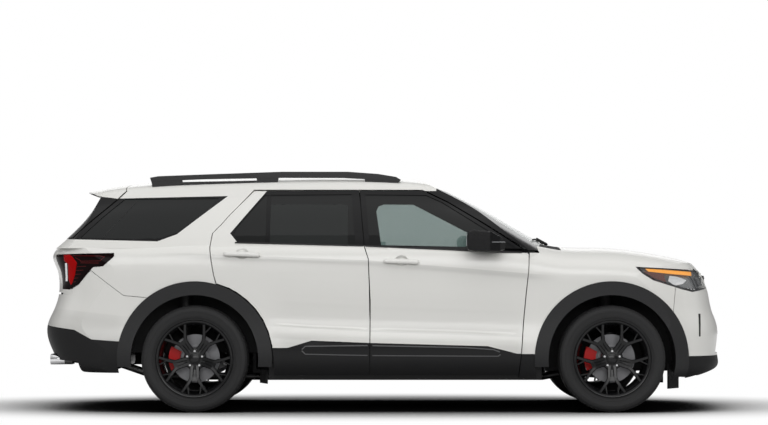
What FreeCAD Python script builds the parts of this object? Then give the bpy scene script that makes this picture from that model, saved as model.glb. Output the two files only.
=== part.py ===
import FreeCAD, Part
import math
import os
from FreeCAD import Vector as V

os.makedirs("parts", exist_ok=True)

# overall size, millimetres; +X forward, +Y left, +Z up, origin on the ground at mid length
LENGTH = 5049.0
WHEELBASE = 3025.0
AXLE_F = 1662.0
AXLE_R = AXLE_F - WHEELBASE
HALF_TRACK = 850.0
NOSE = LENGTH / 2
TAIL = -LENGTH / 2

# wheels and tyres
TYRE_R = 388.0
TYRE_W = 275.0
RIM_R = 279.0
SEAT_R = 266.0
HUB_Z = TYRE_R
PCD = 114.3
LUG_COUNT = 5
SPOKE_PAIRS = 5
SPINDLE_R = 22.0
RUNNING = 0.3
DISC_R = 176.0
KING_Y = 728.0
ARCH_R = 462.0
LINER_R = 490.0
ARCH_TRIM_R = 562.0

# panels
GAP = 7.0
DOOR_IN_Y = -846.0
POST_Y = (-838.0, -794.0)
FRAME_T = 40.0
FENDER_T = 13.0
PANEL_T = 30.0
GATE_T = 80.0
GLASS_T = 5.0
BELT = 1200.0
HEAD_Z = 1622.0
SILL_Z = 268.0
HOOD_HALF = 762.0
ROOF_HALF = 596.0

# hinges
PIN_R = 8.0
PIN_FIT = 0.3
FRONT_PIN_X = 1152.0
REAR_PIN_X = -28.0
PIN_Y = -934.0
HINGE_Z = [(438, 508), (935, 1005)]
GATE_PIN_X = -1822.0
GATE_PIN_Z = 1640.0
GATE_PIN_R = 70.0
GATE_ARM_Y = (430.0, 470.0)
HOOD_PIN_X = 1240.0
HOOD_PIN_Z = 1178.0
HOOD_PIN_R = 60.0
HOOD_ARM_Y = (585.0, 615.0)


# helpers
def box(x0, x1, y0, y1, z0, z1):
    return Part.makeBox(x1 - x0, y1 - y0, z1 - z0, V(x0, y0, z0))


def soft_box(x0, x1, y0, y1, z0, z1, r):
    b = box(x0, x1, y0, y1, z0, z1)
    return b.makeFillet(r, b.Edges)


def polygon(points):
    return Part.Face(Part.makePolygon(points + [points[0]]))


def side_prism(outline, y0, y1):
    return polygon([V(x, y0, z) for x, z in outline]).extrude(V(0, y1 - y0, 0))


def plan_prism(outline, z0, z1):
    return polygon([V(x, y, z0) for x, y in outline]).extrude(V(0, 0, z1 - z0))


def cross_prism(outline, x0, x1):
    return polygon([V(x0, y, z) for y, z in outline]).extrude(V(x1 - x0, 0, 0))


def cyl_y(r, x, z, y0, y1):
    return Part.makeCylinder(r, y1 - y0, V(x, y0, z), V(0, 1, 0))


def cyl_z(r, x, y, z0, z1):
    return Part.makeCylinder(r, z1 - z0, V(x, y, z0), V(0, 0, 1))


def cyl_x(r, y, z, x0, x1):
    return Part.makeCylinder(r, x1 - x0, V(x0, y, z), V(1, 0, 0))


def rod(a, b, r):
    a, b = V(*a), V(*b)
    return Part.makeCylinder(r, (b - a).Length, a, b - a)


def tube_path(points, r):
    out = [rod(a, b, r) for a, b in zip(points, points[1:])]
    out += [Part.makeSphere(r, V(*p)) for p in points[1:-1]]
    return fuse(out)


def fuse(shapes):
    shapes = [s for s in shapes if s.Solids]
    if len(shapes) == 1:
        return shapes[0]
    return shapes[0].fuse(shapes[1:]).removeSplitter()


def largest(shape):
    return max(shape.Solids, key=lambda s: s.Volume)


def mirror(shape):
    return shape.mirror(V(0, 0, 0), V(0, 1, 0))


def with_mirror(shape):
    """A centre piece from its right half."""
    return fuse([shape, mirror(shape)])


def pair(shape):
    return Part.makeCompound(shape.Solids + mirror(shape).Solids)


def solids(shape, smallest=500.0):
    found = [s for s in shape.Solids if s.Volume > smallest]
    return Part.makeCompound(found) if len(found) > 1 else found[0]


def spline_edge(points, start=None, end=None):
    curve = Part.BSplineCurve()
    if start is None:
        curve.interpolate(points)
    else:
        curve.interpolate(Points=points, InitialTangent=start, FinalTangent=end)
    return curve.toShape()


def lerp(table, t):
    for (a, fa), (b, fb) in zip(table, table[1:]):
        if t <= b or (b, fb) == table[-1]:
            return fa + (fb - fa) * (t - a) / (b - a)


# body surface: right half, carried past the middle so every cut is clean
SIDE = [(200, 886), (300, 944), (420, 974), (540, 968), (650, 954), (800, 958), (930, 968)]
CROWN = [(972, 200), (958, 150), (918, 100), (856, 62), (750, 32), (600, 14), (340, 4)]
TOP = [(-2620, 1296), (-1300, 1308), (0, 1310), (880, 1300), (1130, 1244), (1300, 1214)]
TOP += [(1664, 1203), (1985, 1164), (2215, 1116), (2353, 1072), (2450, 1036), (2600, 980)]
WIDTH = [(-2620, 0.975), (-1800, 0.992), (-1363, 1.0), (-600, 0.994), (400, 0.990)]
WIDTH += [(1100, 0.990), (1662, 1.0), (2100, 0.990), (2600, 0.97)]
STATIONS = [-2600, -2000, -1363, -700, 0, 700, 1100, 1300, 1662, 1985, 2215, 2353, 2450, 2590]
NOSE_PLAN = [(0, 0.0), (8, 0.29), (48, 0.58), (125, 0.77), (265, 0.89), (520, 0.97), (900, 1.0)]
TAIL_PLAN = [(900, 1.0), (520, 0.975), (270, 0.92), (126, 0.81), (56, 0.62), (13, 0.34), (0, 0.0)]
ENDS = [(200, 2318, -2120), (300, 2490, -2330), (400, 2518, -2470), (540, 2522.0, -2524.5)]
ENDS += [(640, 2510, -2522), (740, 2476, -2478), (860, 2456, -2442), (960, 2424, -2440)]
ENDS += [(1040, 2366, -2456), (1110, 2294, -2484), (1160, 2226, -2480), (1230, 2170, -2420)]
ENDS += [(1330, 2130, -2330)]


def floor_drop(inset):
    return 0 if inset <= 0 else 60


def body_section(x, inset, flat=False):
    top = lerp(TOP, x)
    w = lerp(WIDTH, x)
    room = min(1.0, (top - 260 - 700) / 230.0)
    side = [(s * w - inset, z if z < 700 else 700 + (z - 700) * room) for z, s in SIDE]
    side[0] = (side[0][0], side[0][1] - floor_drop(inset))
    for s, drop in CROWN:
        lean = min(1.0, drop / 120.0)
        side.append((s * w - inset * lean, top - drop - inset * (1.0 - 0.9 * lean)))
    pts = [V(x, -s, z) for s, z in side] + [V(x, 0, top - inset)]
    pts += [V(x, side[-1][0], side[-1][1])]
    return section_wire(pts, flat)


def section_wire(pts, flat):
    corner = V(pts[0].x, pts[-1].y, pts[0].z)
    if flat:
        return Part.makePolygon(pts + [corner, pts[0]])
    tail = [Part.LineSegment(pts[-1], corner).toShape(), Part.LineSegment(corner, pts[0]).toShape()]
    return Part.Wire([spline_edge(pts)] + tail)


def plan_wire(pts, flat):
    if flat:
        return Part.makePolygon(pts + [pts[0]])
    return Part.Wire([spline_edge(pts), Part.LineSegment(pts[-1], pts[0]).toShape()])


def plan_section(z, front, rear, inset, flat=False):
    w = 992 - inset
    pts = [V(front - inset - 8, 0.29 * w, z)]
    pts += [V(front - inset - s, -f * w, z) for s, f in NOSE_PLAN]
    pts += [V(700, -w * 1.03, z), V(0, -w * 1.04, z), V(-700, -w * 1.03, z)]
    pts += [V(rear + inset + s, -f * w, z) for s, f in TAIL_PLAN]
    pts += [V(rear + inset + 8, 0.29 * w, z)]
    return plan_wire(pts, flat)


def lower_lofts(inset, flat=False):
    along = Part.makeLoft([body_section(x, inset, flat) for x in STATIONS], True, flat)
    ends = [(z - (floor_drop(inset) if z == 200 else 0), f, r) for z, f, r in ENDS]
    return along, Part.makeLoft([plan_section(z, f, r, inset, flat) for z, f, r in ends], True, flat)


def lower_body(inset, flat=False):
    along, plan = lower_lofts(inset, flat)
    return along.common(plan)


# greenhouse surface
CABIN = [(1000, 950), (1200, 918), (1350, 852), (1500, 766), (1600, 694)]
EAVES = [(640, 58), (560, 34), (340, 12)]
ROOF = [(-2260, 1620), (-2013, 1666), (-1829, 1690), (-1400, 1718), (-900, 1736)]
ROOF += [(-400, 1742), (0, 1736), (239, 1720), (450, 1680), (800, 1620), (1450, 1560)]
CABIN_STATIONS = [-2560, -2200, -1829, -1300, -700, 0, 239, 450, 800, 1440]
SCREEN_PLAN = [(0, 0.0), (14, 0.28), (62, 0.56), (124, 0.74), (190, 0.87), (330, 0.96)]
GATE_PLAN = [(330, 0.97), (150, 0.90), (60, 0.76), (20, 0.52), (5, 0.28), (0, 0.0)]
SLOPE = [(1100, 1405, -2500), (1193, 1280, -2448), (1258, 1172, -2372), (1350, 1012, -2275)]
SLOPE += [(1440, 860, -2196), (1510, 735, -2150), (1580, 600, -2108), (1648, 452, -2060)]
SLOPE += [(1720, 270, -2000), (1780, 100, -1940)]


def cabin_section(x, inset, flat=False):
    top = lerp(ROOF, x)
    drop = 1742 - top
    side = []
    for z, s in CABIN:
        side.append((s - inset, z if z < 1300 else z - drop * (z - 1300) / 340.0))
    side[0] = (side[0][0], side[0][1] - floor_drop(inset))
    side += [(s - inset * 0.6, top - d - inset) for s, d in EAVES]
    pts = [V(x, -s, z) for s, z in side] + [V(x, 0, top - inset)]
    pts += [V(x, side[-1][0], side[-1][1])]
    return section_wire(pts, flat)


def cabin_plan_section(z, front, rear, inset, flat=False):
    w = 1010 - inset
    lean = inset * 1.35
    pts = [V(front - lean - 14, 0.28 * w, z)]
    pts += [V(front - lean - s, -f * w, z) for s, f in SCREEN_PLAN]
    pts += [V(front - 700, -w * 1.02, z), V(rear + 700, -w * 1.02, z)]
    pts += [V(rear + lean + s, -f * w, z) for s, f in GATE_PLAN]
    pts += [V(rear + lean + 5, 0.28 * w, z)]
    return plan_wire(pts, flat)


def upper_body(inset, flat=False):
    along = [cabin_section(x, inset, flat) for x in CABIN_STATIONS]
    slope = [(z - (floor_drop(inset) if z == 1100 else 0), f, r) for z, f, r in SLOPE]
    plan = [cabin_plan_section(z, f, r, inset, flat) for z, f, r in slope]
    return Part.makeLoft(along, True, flat).common(Part.makeLoft(plan, True, flat))


MADE = {}


def low(inset, flat=False):
    key = ("low", inset, flat)
    if key not in MADE:
        MADE[key] = lower_body(inset, flat)
    return MADE[key]


def high(inset, flat=False):
    key = ("high", inset, flat)
    if key not in MADE:
        MADE[key] = upper_body(inset, flat)
    return MADE[key]


def low_panel(region, t0, t1):
    """The part of the lower body skin inside a region; the hidden inner face is in flats."""
    return region.common(low(t0)).cut(low(t1, True))


def proud(piece):
    """A piece held to the surface that the black trim stands out to."""
    if "proud" not in MADE:
        MADE["proud"] = lower_lofts(TRIM_OUT)
    for limit in MADE["proud"]:
        piece = piece.common(limit)
    return piece


def high_panel(region, t0, t1):
    return region.common(high(t0)).cut(high(t1, True))


def glass_panel(region, t0):
    return region.common(high(t0)).cut(high(t0 + GLASS_T))


SKIN_Y = [(200, 890), (300, 945), (420, 974), (650, 954), (950, 970), (1100, 966), (1160, 945)]
SKIN_Y += [(1210, 914), (1350, 852), (1500, 766), (1600, 694), (1700, 600)]


def shut_prism(outline):
    """Side outline (x, z, slope): slope is the inward draft of the shut face there."""
    outer, inner = [], []
    for x, z, slope in outline:
        y = lerp(SKIN_Y, z)
        outer.append(V(x - slope * (1040 - y), -1040, z))
        inner.append(V(x + slope * (y - 480), -480, z))
    w0 = Part.makePolygon(outer + [outer[0]])
    w1 = Part.makePolygon(inner + [inner[0]])
    return Part.makeLoft([w0, w1], True, True)


# gap lines
def front_gap(z):
    return lerp([(200, 981), (266, 987), (1074, 1057), (1300, 1077)], z)


def mid_gap(z):
    return lerp([(200, -93), (800, -92), (1113, -105), (1200, -134), (1618, -172)], z)


def rear_gap(side):
    d = side * GAP / 2
    r = ARCH_TRIM_R + GAP / 2 + d
    pts = [(AXLE_R + r + 8, SILL_Z, 0.16), (AXLE_R + r + 5, 400, 0.16)]
    for a in (10, 20, 30, 39, 48, 57, 64):
        c, s = math.cos(math.radians(a)), math.sin(math.radians(a))
        pts.append((AXLE_R + (r + 3) * c, HUB_Z + (r + 3) * s, 0.16 - a * 0.0008))
    pts += [(-1208 + d, HUB_Z + r - 22, 0.11), (-1224 + d, 990, 0.11), (-1256 + d, 1202, 0.10)]
    pts += [(-1240 + d, 1300, 0.14), (-1177 + d, 1366, 0.2), (-1060 + d, 1500, 0.3)]
    pts += [(-949 + d, 1618 - d, 0.38)]
    return pts


def front_door_outline():
    d = GAP / 2
    pts = [(1120, SILL_Z, 0), (1120, 1080, 0), (1040, 1168, 0.02), (700, 1392, 0.0)]
    pts += [(480, 1528, 0.0), (330, 1600, 0.0), (290, HEAD_Z - d, 0)]
    pts.append((mid_gap(1618) + d, HEAD_Z - d, 0.21))
    pts += [(mid_gap(z) + d, z, (z - 1080) * 0.0004) for z in (1560, 1500, 1430, 1350, 1270, 1200)]
    pts += [(mid_gap(1113) + d, 1113, 0.05), (mid_gap(800) + d, 800, 0.05)]
    pts += [(mid_gap(266) + d, SILL_Z, 0.05)]
    return pts


def rear_door_outline():
    d = GAP / 2
    pts = [(60, SILL_Z, 0), (60, 1100, 0), (mid_gap(1150) - d, 1150, 0)]
    pts.append((mid_gap(1200) - d, 1200, 0))
    pts += [(mid_gap(1618) - d, HEAD_Z - d, 0)]
    return pts + list(reversed(rear_gap(1)))


def hinge_cone(pin_x, r_low, r_high):
    return Part.makeCone(r_low, r_high, 1100, V(pin_x, PIN_Y, 200), V(0, 0, 1))


def hinge_drum(pin_x):
    """Room inside a shut face: clears the corner of the flange ahead of it at every height."""
    pts = [V(pin_x, PIN_Y, 200)]
    for z, y in SKIN_Y[:8]:
        out = 0.992 * y + (8.5 if z < 600 else 0.5)
        reach = pin_x - mid_gap(z) - GAP / 2 + 0.6
        pts.append(V(pin_x + math.hypot(reach, out + PIN_Y) + 5, PIN_Y, z))
    pts.append(V(pin_x, PIN_Y, pts[-1].z))
    return polygon(pts).revolve(V(pin_x, PIN_Y, 0), V(0, 0, 1), 360)


WINDOW_FRONT = [(964, 1193), (900, 1234), (640, 1402), (440, 1530), (322, 1584), (-128, 1588)]
WINDOW_FRONT += [(-96, 1214)]
WINDOW_REAR = [(-200, 1206), (-228, 1590), (-866, 1584), (-968, 1462), (-1068, 1340)]
WINDOW_REAR += [(-1086, 1294), (-1050, 1240)]
WINDOW_QUARTER = [(-1205, 1560), (-1900, 1556), (-2040, 1430), (-2200, 1268), (-1650, 1252)]
WINDOW_QUARTER += [(-1500, 1306), (-1340, 1430)]


def grown(outline, margin):
    cx = sum(p[0] for p in outline) / len(outline)
    cz = sum(p[1] for p in outline) / len(outline)
    out = []
    for x, z in outline:
        d = math.hypot(x - cx, z - cz)
        out.append((x + (x - cx) / d * margin, z + (z - cz) / d * margin))
    return out


def side_pane(outline):
    return solids(glass_panel(side_prism(grown(outline, 14), -1100, -300), 6))


# door hinges
def hinge_arm(pin_x, knees, reach):
    """Door half of a hinge: an eye on the pin and a bent arm that runs inboard to the door."""
    out = []
    a = math.radians(62 if reach else 59)
    dx, dy = -math.cos(a), math.sin(a)
    nx, ny = dy * 7, -dx * 7
    for (z0, z1), knee in zip(HINGE_Z, knees):
        z0, z1 = z0 + 18, z1 - 18
        kx, ky = pin_x + dx * knee, PIN_Y + dy * knee
        p = [(pin_x + nx, PIN_Y + ny), (pin_x - nx, PIN_Y - ny), (kx - nx, ky - ny), (kx + nx, ky + ny)]
        out.append(cyl_z(PIN_R + 3, pin_x, PIN_Y, z0, z1).fuse(plan_prism(p, z0, z1)))
        if reach:
            q = [(kx + nx, ky - 7), (kx - nx, ky + 7), (kx - reach, DOOR_IN_Y + 4)]
            q.append((kx - reach, DOOR_IN_Y - 12))
            out.append(plan_prism(q, z0, z1))
    return out


def pin_holes(pin_x):
    return [cyl_z(PIN_R + PIN_FIT, pin_x, PIN_Y, z0, z1) for z0, z1 in HINGE_Z]


def hinge_bracket(pin_x, back, inner_y):
    """Body half of a hinge: lugs above and below the eye, with the pin through them."""
    out = []
    for z0, z1 in HINGE_Z:
        for a, b in ((z0, z0 + 17.5), (z1 - 17.5, z1)):
            out.append(cyl_z(PIN_R + 3, pin_x, PIN_Y, a, b))
            out.append(box(pin_x - 6, pin_x + back, PIN_Y - 4, inner_y, a, b))
        out.append(cyl_z(PIN_R, pin_x, PIN_Y, z0 + 1, z1 - 1))
    return out


def handle(x0, x1, z, tilt):
    y = -lerp(SKIN_Y, z)
    bar = soft_box(x0, x1, y - 30, y - 14, z - 15, z + 15, 7.0)
    posts = [box(a, a + 34, y - 20, y + 24, z - 11, z + 11) for a in (x0 + 8, x1 - 42)]
    out = fuse([bar] + posts)
    out.rotate(V((x0 + x1) / 2, y, z), V(0, 1, 0), tilt)
    return out


TRIM_TOP = [(-905, 470), (-690, 468), (-515, 521), (-90, 504), (760, 481), (975, 426), (1160, 424)]
TRIM_OUT = -8.0


def trim_zone(x0, x1):
    """Side region of the lower cladding, under a line that rises towards the middle."""
    xs = [x0] + [x for x, z in TRIM_TOP if x0 + 5 < x < x1 - 5] + [x1]
    outline = [(x, lerp(TRIM_TOP, x)) for x in xs] + [(x1, SILL_Z - 60), (x0, SILL_Z - 60)]
    return side_prism(outline, -1200, -300)


def clad(leaf, x0, x1):
    """Door shell with a proud lower band and its long groove."""
    zone = trim_zone(-1400, 1400)
    leaf = leaf.common(box(-1500, 1300, -1100, DOOR_IN_Y, 200, BELT))
    g0, g1 = max(x0 + 40, -590), min(x1 - 40, 850)
    groove = side_prism([(g0, 478), (g1, 458), (g1, 412), (g0, 424)], -1100, -976)
    band = proud(leaf.common(zone).cut(groove))
    plain = leaf.cut(zone).common(low(0))
    return fuse([largest(band), largest(plain)])


# doors
def front_door():
    r0 = FRONT_PIN_X - front_gap(200) + GAP / 2
    r1 = FRONT_PIN_X - front_gap(1300) + GAP / 2
    leaf = shut_prism(front_door_outline())
    thin = [(-(0.99 * y - 9), z) for z, y in SKIN_Y[:8]] + [(-500, 1160), (-500, 200)]
    pocket = cross_prism(thin, -160, REAR_PIN_X + 66)
    pocket = pocket.fuse(box(-160, REAR_PIN_X + 66, -935, -500, 1150, BELT + 2))
    low_leaf = leaf.cut([hinge_cone(FRONT_PIN_X, r0, r1), pocket,
                         box(FRONT_PIN_X, 1400, -1100, 0, 0, 1400)])
    lower = clad(low_leaf, mid_gap(400), 992)
    upper = leaf.common(box(-300, 1200, -1040, -400, BELT - 12, 1800))
    upper = high_panel(upper.cut(side_prism(WINDOW_FRONT, -1100, -300)), 0, FRAME_T)
    door = fuse([lower, largest(upper)] + hinge_arm(FRONT_PIN_X, (162, 112), 62))
    door = door.cut(pin_holes(FRONT_PIN_X))
    return largest(fuse([door, handle(10, 262, 1094, 2.0)]))


def rear_door():
    leaf = shut_prism(rear_door_outline())
    front = [(mid_gap(z) - GAP / 2, z) for z in (200, 800, 1113, 1201)] + [(300, 1201), (300, 200)]
    low_leaf = leaf.cut([hinge_drum(REAR_PIN_X), side_prism(front, -1100, -860),
                         box(REAR_PIN_X - 22, 200, -1100, 0, 0, 1400)])
    lower = clad(low_leaf, AXLE_R + ARCH_TRIM_R, mid_gap(400))
    upper = leaf.common(box(-1400, 100, -1040, -400, BELT - 12, 1800))
    upper = high_panel(upper.cut(side_prism(WINDOW_REAR, -1100, -300)), 0, FRAME_T)
    door = fuse([lower, largest(upper)] + hinge_arm(REAR_PIN_X, (96, 96), 0))
    door = door.cut(pin_holes(REAR_PIN_X))
    return largest(fuse([door, handle(-1150, -890, 1146, 2.0)]))


# tail
GATE_HALF_LOW = 742.0
GATE_UPPER = [(-1866, 1900), (-1866, 1641), (-1958, 1548), (-2150, 1372), (-2262, 1266)]
GATE_UPPER += [(-2800, 1266), (-2800, 1900)]
TAIL_LAMP = [(-2030, 1150), (-1948, 1152), (-1948, 1132), (-2030, 1062), (-2104, 1056)]
TAIL_LAMP += [(-2214, 930), (-2284, 890), (-2600, 908), (-2600, 1140)]
TAIL_LAMP_GROWN = [(-2030, 1154), (-1947.7, 1156), (-1947.7, 1130), (-2028, 1058), (-2102, 1052)]
TAIL_LAMP_GROWN += [(-2212, 926), (-2283, 885), (-2600, 903), (-2600, 1144)]
REAR_BUMPER = [(-2118, 1030), (-1880, 849), (-1700, 832), (-1700, 100), (-2700, 100), (-2700, 856)]
REAR_BUMPER += [(-2262, 860), (-2254, 930)]


def gate_region(side):
    """Side +1 gives the lid, -1 the opening it leaves in the body."""
    d = side * GAP / 2
    upper = [(x - d, z + d) for x, z in GATE_UPPER[:4]]
    upper += [(x - (d if x > -2700 else 0), z + (d if z < 1500 else 0)) for x, z in GATE_UPPER[4:]]
    upper = side_prism(upper, -1100, 1)
    lower_x = box(-2800, -2200, -GATE_HALF_LOW + d, 1, 866 + d, 1266 - d)
    neck = box(-2800, -2262 - d, -GATE_HALF_LOW + d, 1, 1250, 1274)
    lid = upper.fuse([lower_x, neck])
    if side > 0:
        drum = cyl_y(GATE_PIN_R + GAP, GATE_PIN_X, GATE_PIN_Z, -1100, 2)
        return lid.cut([drum, box(GATE_PIN_X, 0, -1100, 10, 0, 2000)])
    return lid.cut(cyl_y(GATE_PIN_R, GATE_PIN_X, GATE_PIN_Z, -1100, 2))


REAR_WINDOW = [(-600, 1560), (0, 1574), (0, 1236), (-700, 1240), (-668, 1400)]


def tailgate():
    lid = gate_region(1)
    upper = lid.common(box(-2800, -1700, -1100, 0, 1262, 1900))
    upper = upper.cut(cross_prism(REAR_WINDOW, -2700, -2000).cut(box(-2090, 0, -900, 1, 1480, 1700)))
    upper = high_panel(upper, 0, FRAME_T)
    shelf = side_prism([(-2352, 1190), (-2100, 1190), (-2100, 1290), (-2296, 1290)], -690, 2)
    lower = lid.common(box(-2800, -2200, -1100, 0, 860, 1272)).cut(shelf)
    lower = low_panel(lower, 0, GATE_T)
    spoiler = side_prism([(-1868, 1700), (-1868, 1600), (-2100, 1570), (-2186, 1604),
                          (-2214, 1622), (-2214, 1700)], -640, 0)
    wing = Part.makeLoft([cabin_section(x, 0) for x in (-2560, -2200, -1829, -1500)], True, False)
    spoiler = spoiler.cut(cyl_y(GATE_PIN_R + GAP, GATE_PIN_X, GATE_PIN_Z, -900, 1))
    spoiler = spoiler.cut(plan_prism([(-2300, -900), (-2120, -900), (-2214, -300)], 1400, 1800))
    spoiler = spoiler.common(gate_region(1)).common(wing)
    px, pz = GATE_PIN_X, GATE_PIN_Z
    arm = [(px + 6, pz + 7), (px - 6, pz + 7), (px - 18, pz - 80), (px - 104, pz - 84)]
    arm += [(px - 104, pz - 98), (px - 6, pz - 98)]
    arm = side_prism(arm, -GATE_ARM_Y[1], -GATE_ARM_Y[0])
    arm = arm.fuse(cyl_y(15, GATE_PIN_X, GATE_PIN_Z, -GATE_ARM_Y[1], -GATE_ARM_Y[0]))
    back = box(px - 160, px - 90, -GATE_ARM_Y[1], -GATE_ARM_Y[0], pz - 98, pz - 10)
    lid = fuse([largest(upper), largest(lower), largest(spoiler), arm, back])
    lid = lid.cut(cyl_y(PIN_R + PIN_FIT, GATE_PIN_X, GATE_PIN_Z, -600, -300))
    return with_mirror(largest(lid))


def gate_glass():
    region = cross_prism(grown_window(REAR_WINDOW, 14), -2700, -2000)
    region = region.cut(box(-2082, 0, -900, 1, 1400, 1700))
    return with_mirror(solids(glass_panel(region, 6)))


def grown_window(outline, m):
    out = []
    for y, z in outline:
        out.append((y if y == 0 else y - m, z + m if z > 1450 else (z - m if z < 1300 else z)))
    return out


# body side
def side_frame():
    shut = [(x, z, s) for x, z, s in rear_gap(-1)]
    shut += [(-945, 2000, 0.0), (-2700, 2000, 0), (-2700, SILL_Z, 0)]
    shut = shut_prism(shut)
    opening = gate_region(-1)
    lower = shut.common(box(-2700, -700, -1100, -300, 330, 1240))
    lower = lower.cut([cyl_y(ARCH_TRIM_R, AXLE_R, HUB_Z, -1100, -400),
                       side_prism(REAR_BUMPER, -1100, 0), opening,
                       side_prism(TAIL_LAMP_GROWN, -1100, -500)])
    lower = low_panel(lower, 0, PANEL_T)
    upper = shut.common(box(-2700, -700, -1100, -300, 1190, 1800))
    upper = upper.cut([opening, side_prism(WINDOW_QUARTER, -1100, -300),
                       box(-2700, 2000, -ROOF_HALF, 0, 1500, 1800)])
    upper = high_panel(upper, 0, FRAME_T)
    d = GAP / 2
    above = [(1290, 1176), (1054, 1176), (706, 1400), (484, 1536), (334, 1609), (292, HEAD_Z + d)]
    above += [(-960, HEAD_Z + d), (-960, 1800), (700, 1800), (1500, 1300)]
    beyond = box(-2700, 452, -ROOF_HALF, 0, 1500, 1800)
    rail = high_panel(side_prism(above, -1100, -300).cut([beyond, SCREEN]), 0, FRAME_T)
    ring = side_prism([(-1330, 1206), (-1200, 1206), (-1010, 1500), (-920, 1580), (250, 1580),
                       (340, 1560), (936, 1206), (1040, 1206), (1060, 1180), (1230, 1180),
                       (500, 1800), (-1000, 1800), (-1330, 1500)], -1100, -300)
    post = side_prism([(-176, 1206), (-60, 1206), (-110, 1800), (-216, 1800)], -1100, -300)
    beyond = box(-2700, 470, -ROOF_HALF + 30, 0, 1500, 1800)
    inner = ring.fuse(post).cut([beyond, SCREEN]).common(high(FRAME_T + 8, True))
    inner = inner.cut(high(FRAME_T + 44, True))
    y0, y1 = POST_Y
    posts = [box(-150, 20, y0, y1, 290, 1240), box(1040, 1158, y0, y1, 326, 1160)]
    posts.append(box(1040, 1110, y0, y1, 1150, 1196))
    posts += [box(-1330, -1196, y0, y1, 890, 1240), box(-830, 1158, y0, -744, 236, 326)]
    posts.append(box(-1330, -1264, -880, y1, 1206, 1250))
    frame = fuse(posts)
    for z0, z1 in HINGE_Z:
        frame = frame.cut(box(1030, FRONT_PIN_X - 14, -900, -700, z0 + 8, z1 - 8))
    hinges = hinge_bracket(FRONT_PIN_X, 5, -800) + hinge_bracket(REAR_PIN_X, 30, -800)
    return fuse([largest(lower), largest(upper), largest(rail), largest(inner), frame] + hinges)


SCREEN_EDGE = [(1420, -800), (1180, -742), (440, -560), (440, 10), (1420, 10)]
SCREEN = plan_prism(SCREEN_EDGE, 1100, 1800)


# roof, hood, fenders, nose
def roof():
    region = box(-2200, 440, -ROOF_HALF + 1, 0, 1500, 1800)
    beyond = box(-2400, GATE_PIN_X, -1100, 1, 1400, 1900)
    beyond = beyond.cut(cyl_y(GATE_PIN_R, GATE_PIN_X, GATE_PIN_Z, -1101, 2))
    shell = high_panel(region.cut(beyond), 0, 26)
    header = box(330, 436, -560, 0, 1500, 1800).common(high(20, True)).cut(high(60, True))
    bow = box(-1760, -1690, -560, 0, 1500, 1800).common(high(20, True)).cut(high(70, True))
    lugs = []
    for a, b in ((GATE_ARM_Y[0] - 21, GATE_ARM_Y[0] - 0.5), (GATE_ARM_Y[1] + 0.5, GATE_ARM_Y[1] + 21)):
        lugs.append(box(GATE_PIN_X - 6, -1700, -b, -a, GATE_PIN_Z - 14, GATE_PIN_Z + 12))
        lugs.append(cyl_y(15, GATE_PIN_X, GATE_PIN_Z, -b, -a))
    lugs.append(cyl_y(PIN_R, GATE_PIN_X, GATE_PIN_Z, -GATE_ARM_Y[1] - 10, -GATE_ARM_Y[0] + 10))
    room = box(GATE_PIN_X - 24, GATE_PIN_X + 24, -GATE_ARM_Y[1] - 0.5, -GATE_ARM_Y[0] + 0.5, 1600,
               GATE_PIN_Z + 21)
    room = room.fuse(box(GATE_PIN_X - 90, GATE_PIN_X - 20, -GATE_ARM_Y[1] - 5, -GATE_ARM_Y[0] + 5,
                         1540, GATE_PIN_Z + 12))
    pin = lugs.pop()
    half = fuse([largest(shell), largest(header), largest(bow)] + lugs).cut(room)
    half = fuse([half, pin])
    fin = side_prism([(-1758, 1690), (-1560, 1700), (-1640, 1712), (-1720, 1744), (-1742, 1746)],
                     -9, 9)
    return fuse([half, mirror(half), fin])


def screen():
    region = plan_prism([(1420, -786), (1180, -728), (440, -546), (440, 0), (1420, 0)], 1200, 1800)
    return with_mirror(solids(glass_panel(region, 6)))


HOOD_FRONT = [(1200, 1150), (1664, 1142), (1985, 1108), (2215, 1066), (2296, 1038), (2330, 1016)]
HOOD_FRONT += [(2346, 1300), (1200, 1300)]


def hood():
    region = side_prism(HOOD_FRONT, -HOOD_HALF + GAP / 2, 0)
    region = region.cut(plan_prism([(2100, -HOOD_HALF), (2400, -HOOD_HALF), (2400, -640)], 900, 1400))
    shell = region.common(low(0))
    drum = cyl_y(HOOD_PIN_R + GAP, HOOD_PIN_X, HOOD_PIN_Z, -1100, 2)
    shell = shell.cut([drum, box(1000, HOOD_PIN_X, -1100, 10, 900, 1400)])
    y0, y1 = -HOOD_ARM_Y[1], -HOOD_ARM_Y[0]
    arm = box(HOOD_PIN_X, 1420, y0, y1, HOOD_PIN_Z - 8, HOOD_PIN_Z + 8)
    arm = arm.fuse(cyl_y(13, HOOD_PIN_X, HOOD_PIN_Z, y0, y1))
    half = fuse([solids(shell), arm])
    half = half.cut(cyl_y(PIN_R + PIN_FIT, HOOD_PIN_X, HOOD_PIN_Z, y0 - 1, y1 + 1))
    return with_mirror(half)


HEADLAMP = [(1834, 1055), (1880, 1008), (1964, 957), (2168, 896), (2260, 874), (2360, 890)]
HEADLAMP += [(2600, 930), (2600, 976), (2340, 998), (2290, 1030)]
LAMP_INNER = 618.0


def lamp_region(m):
    region = side_prism(grown(HEADLAMP, m), -1100, -LAMP_INNER + m)
    return region


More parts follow.
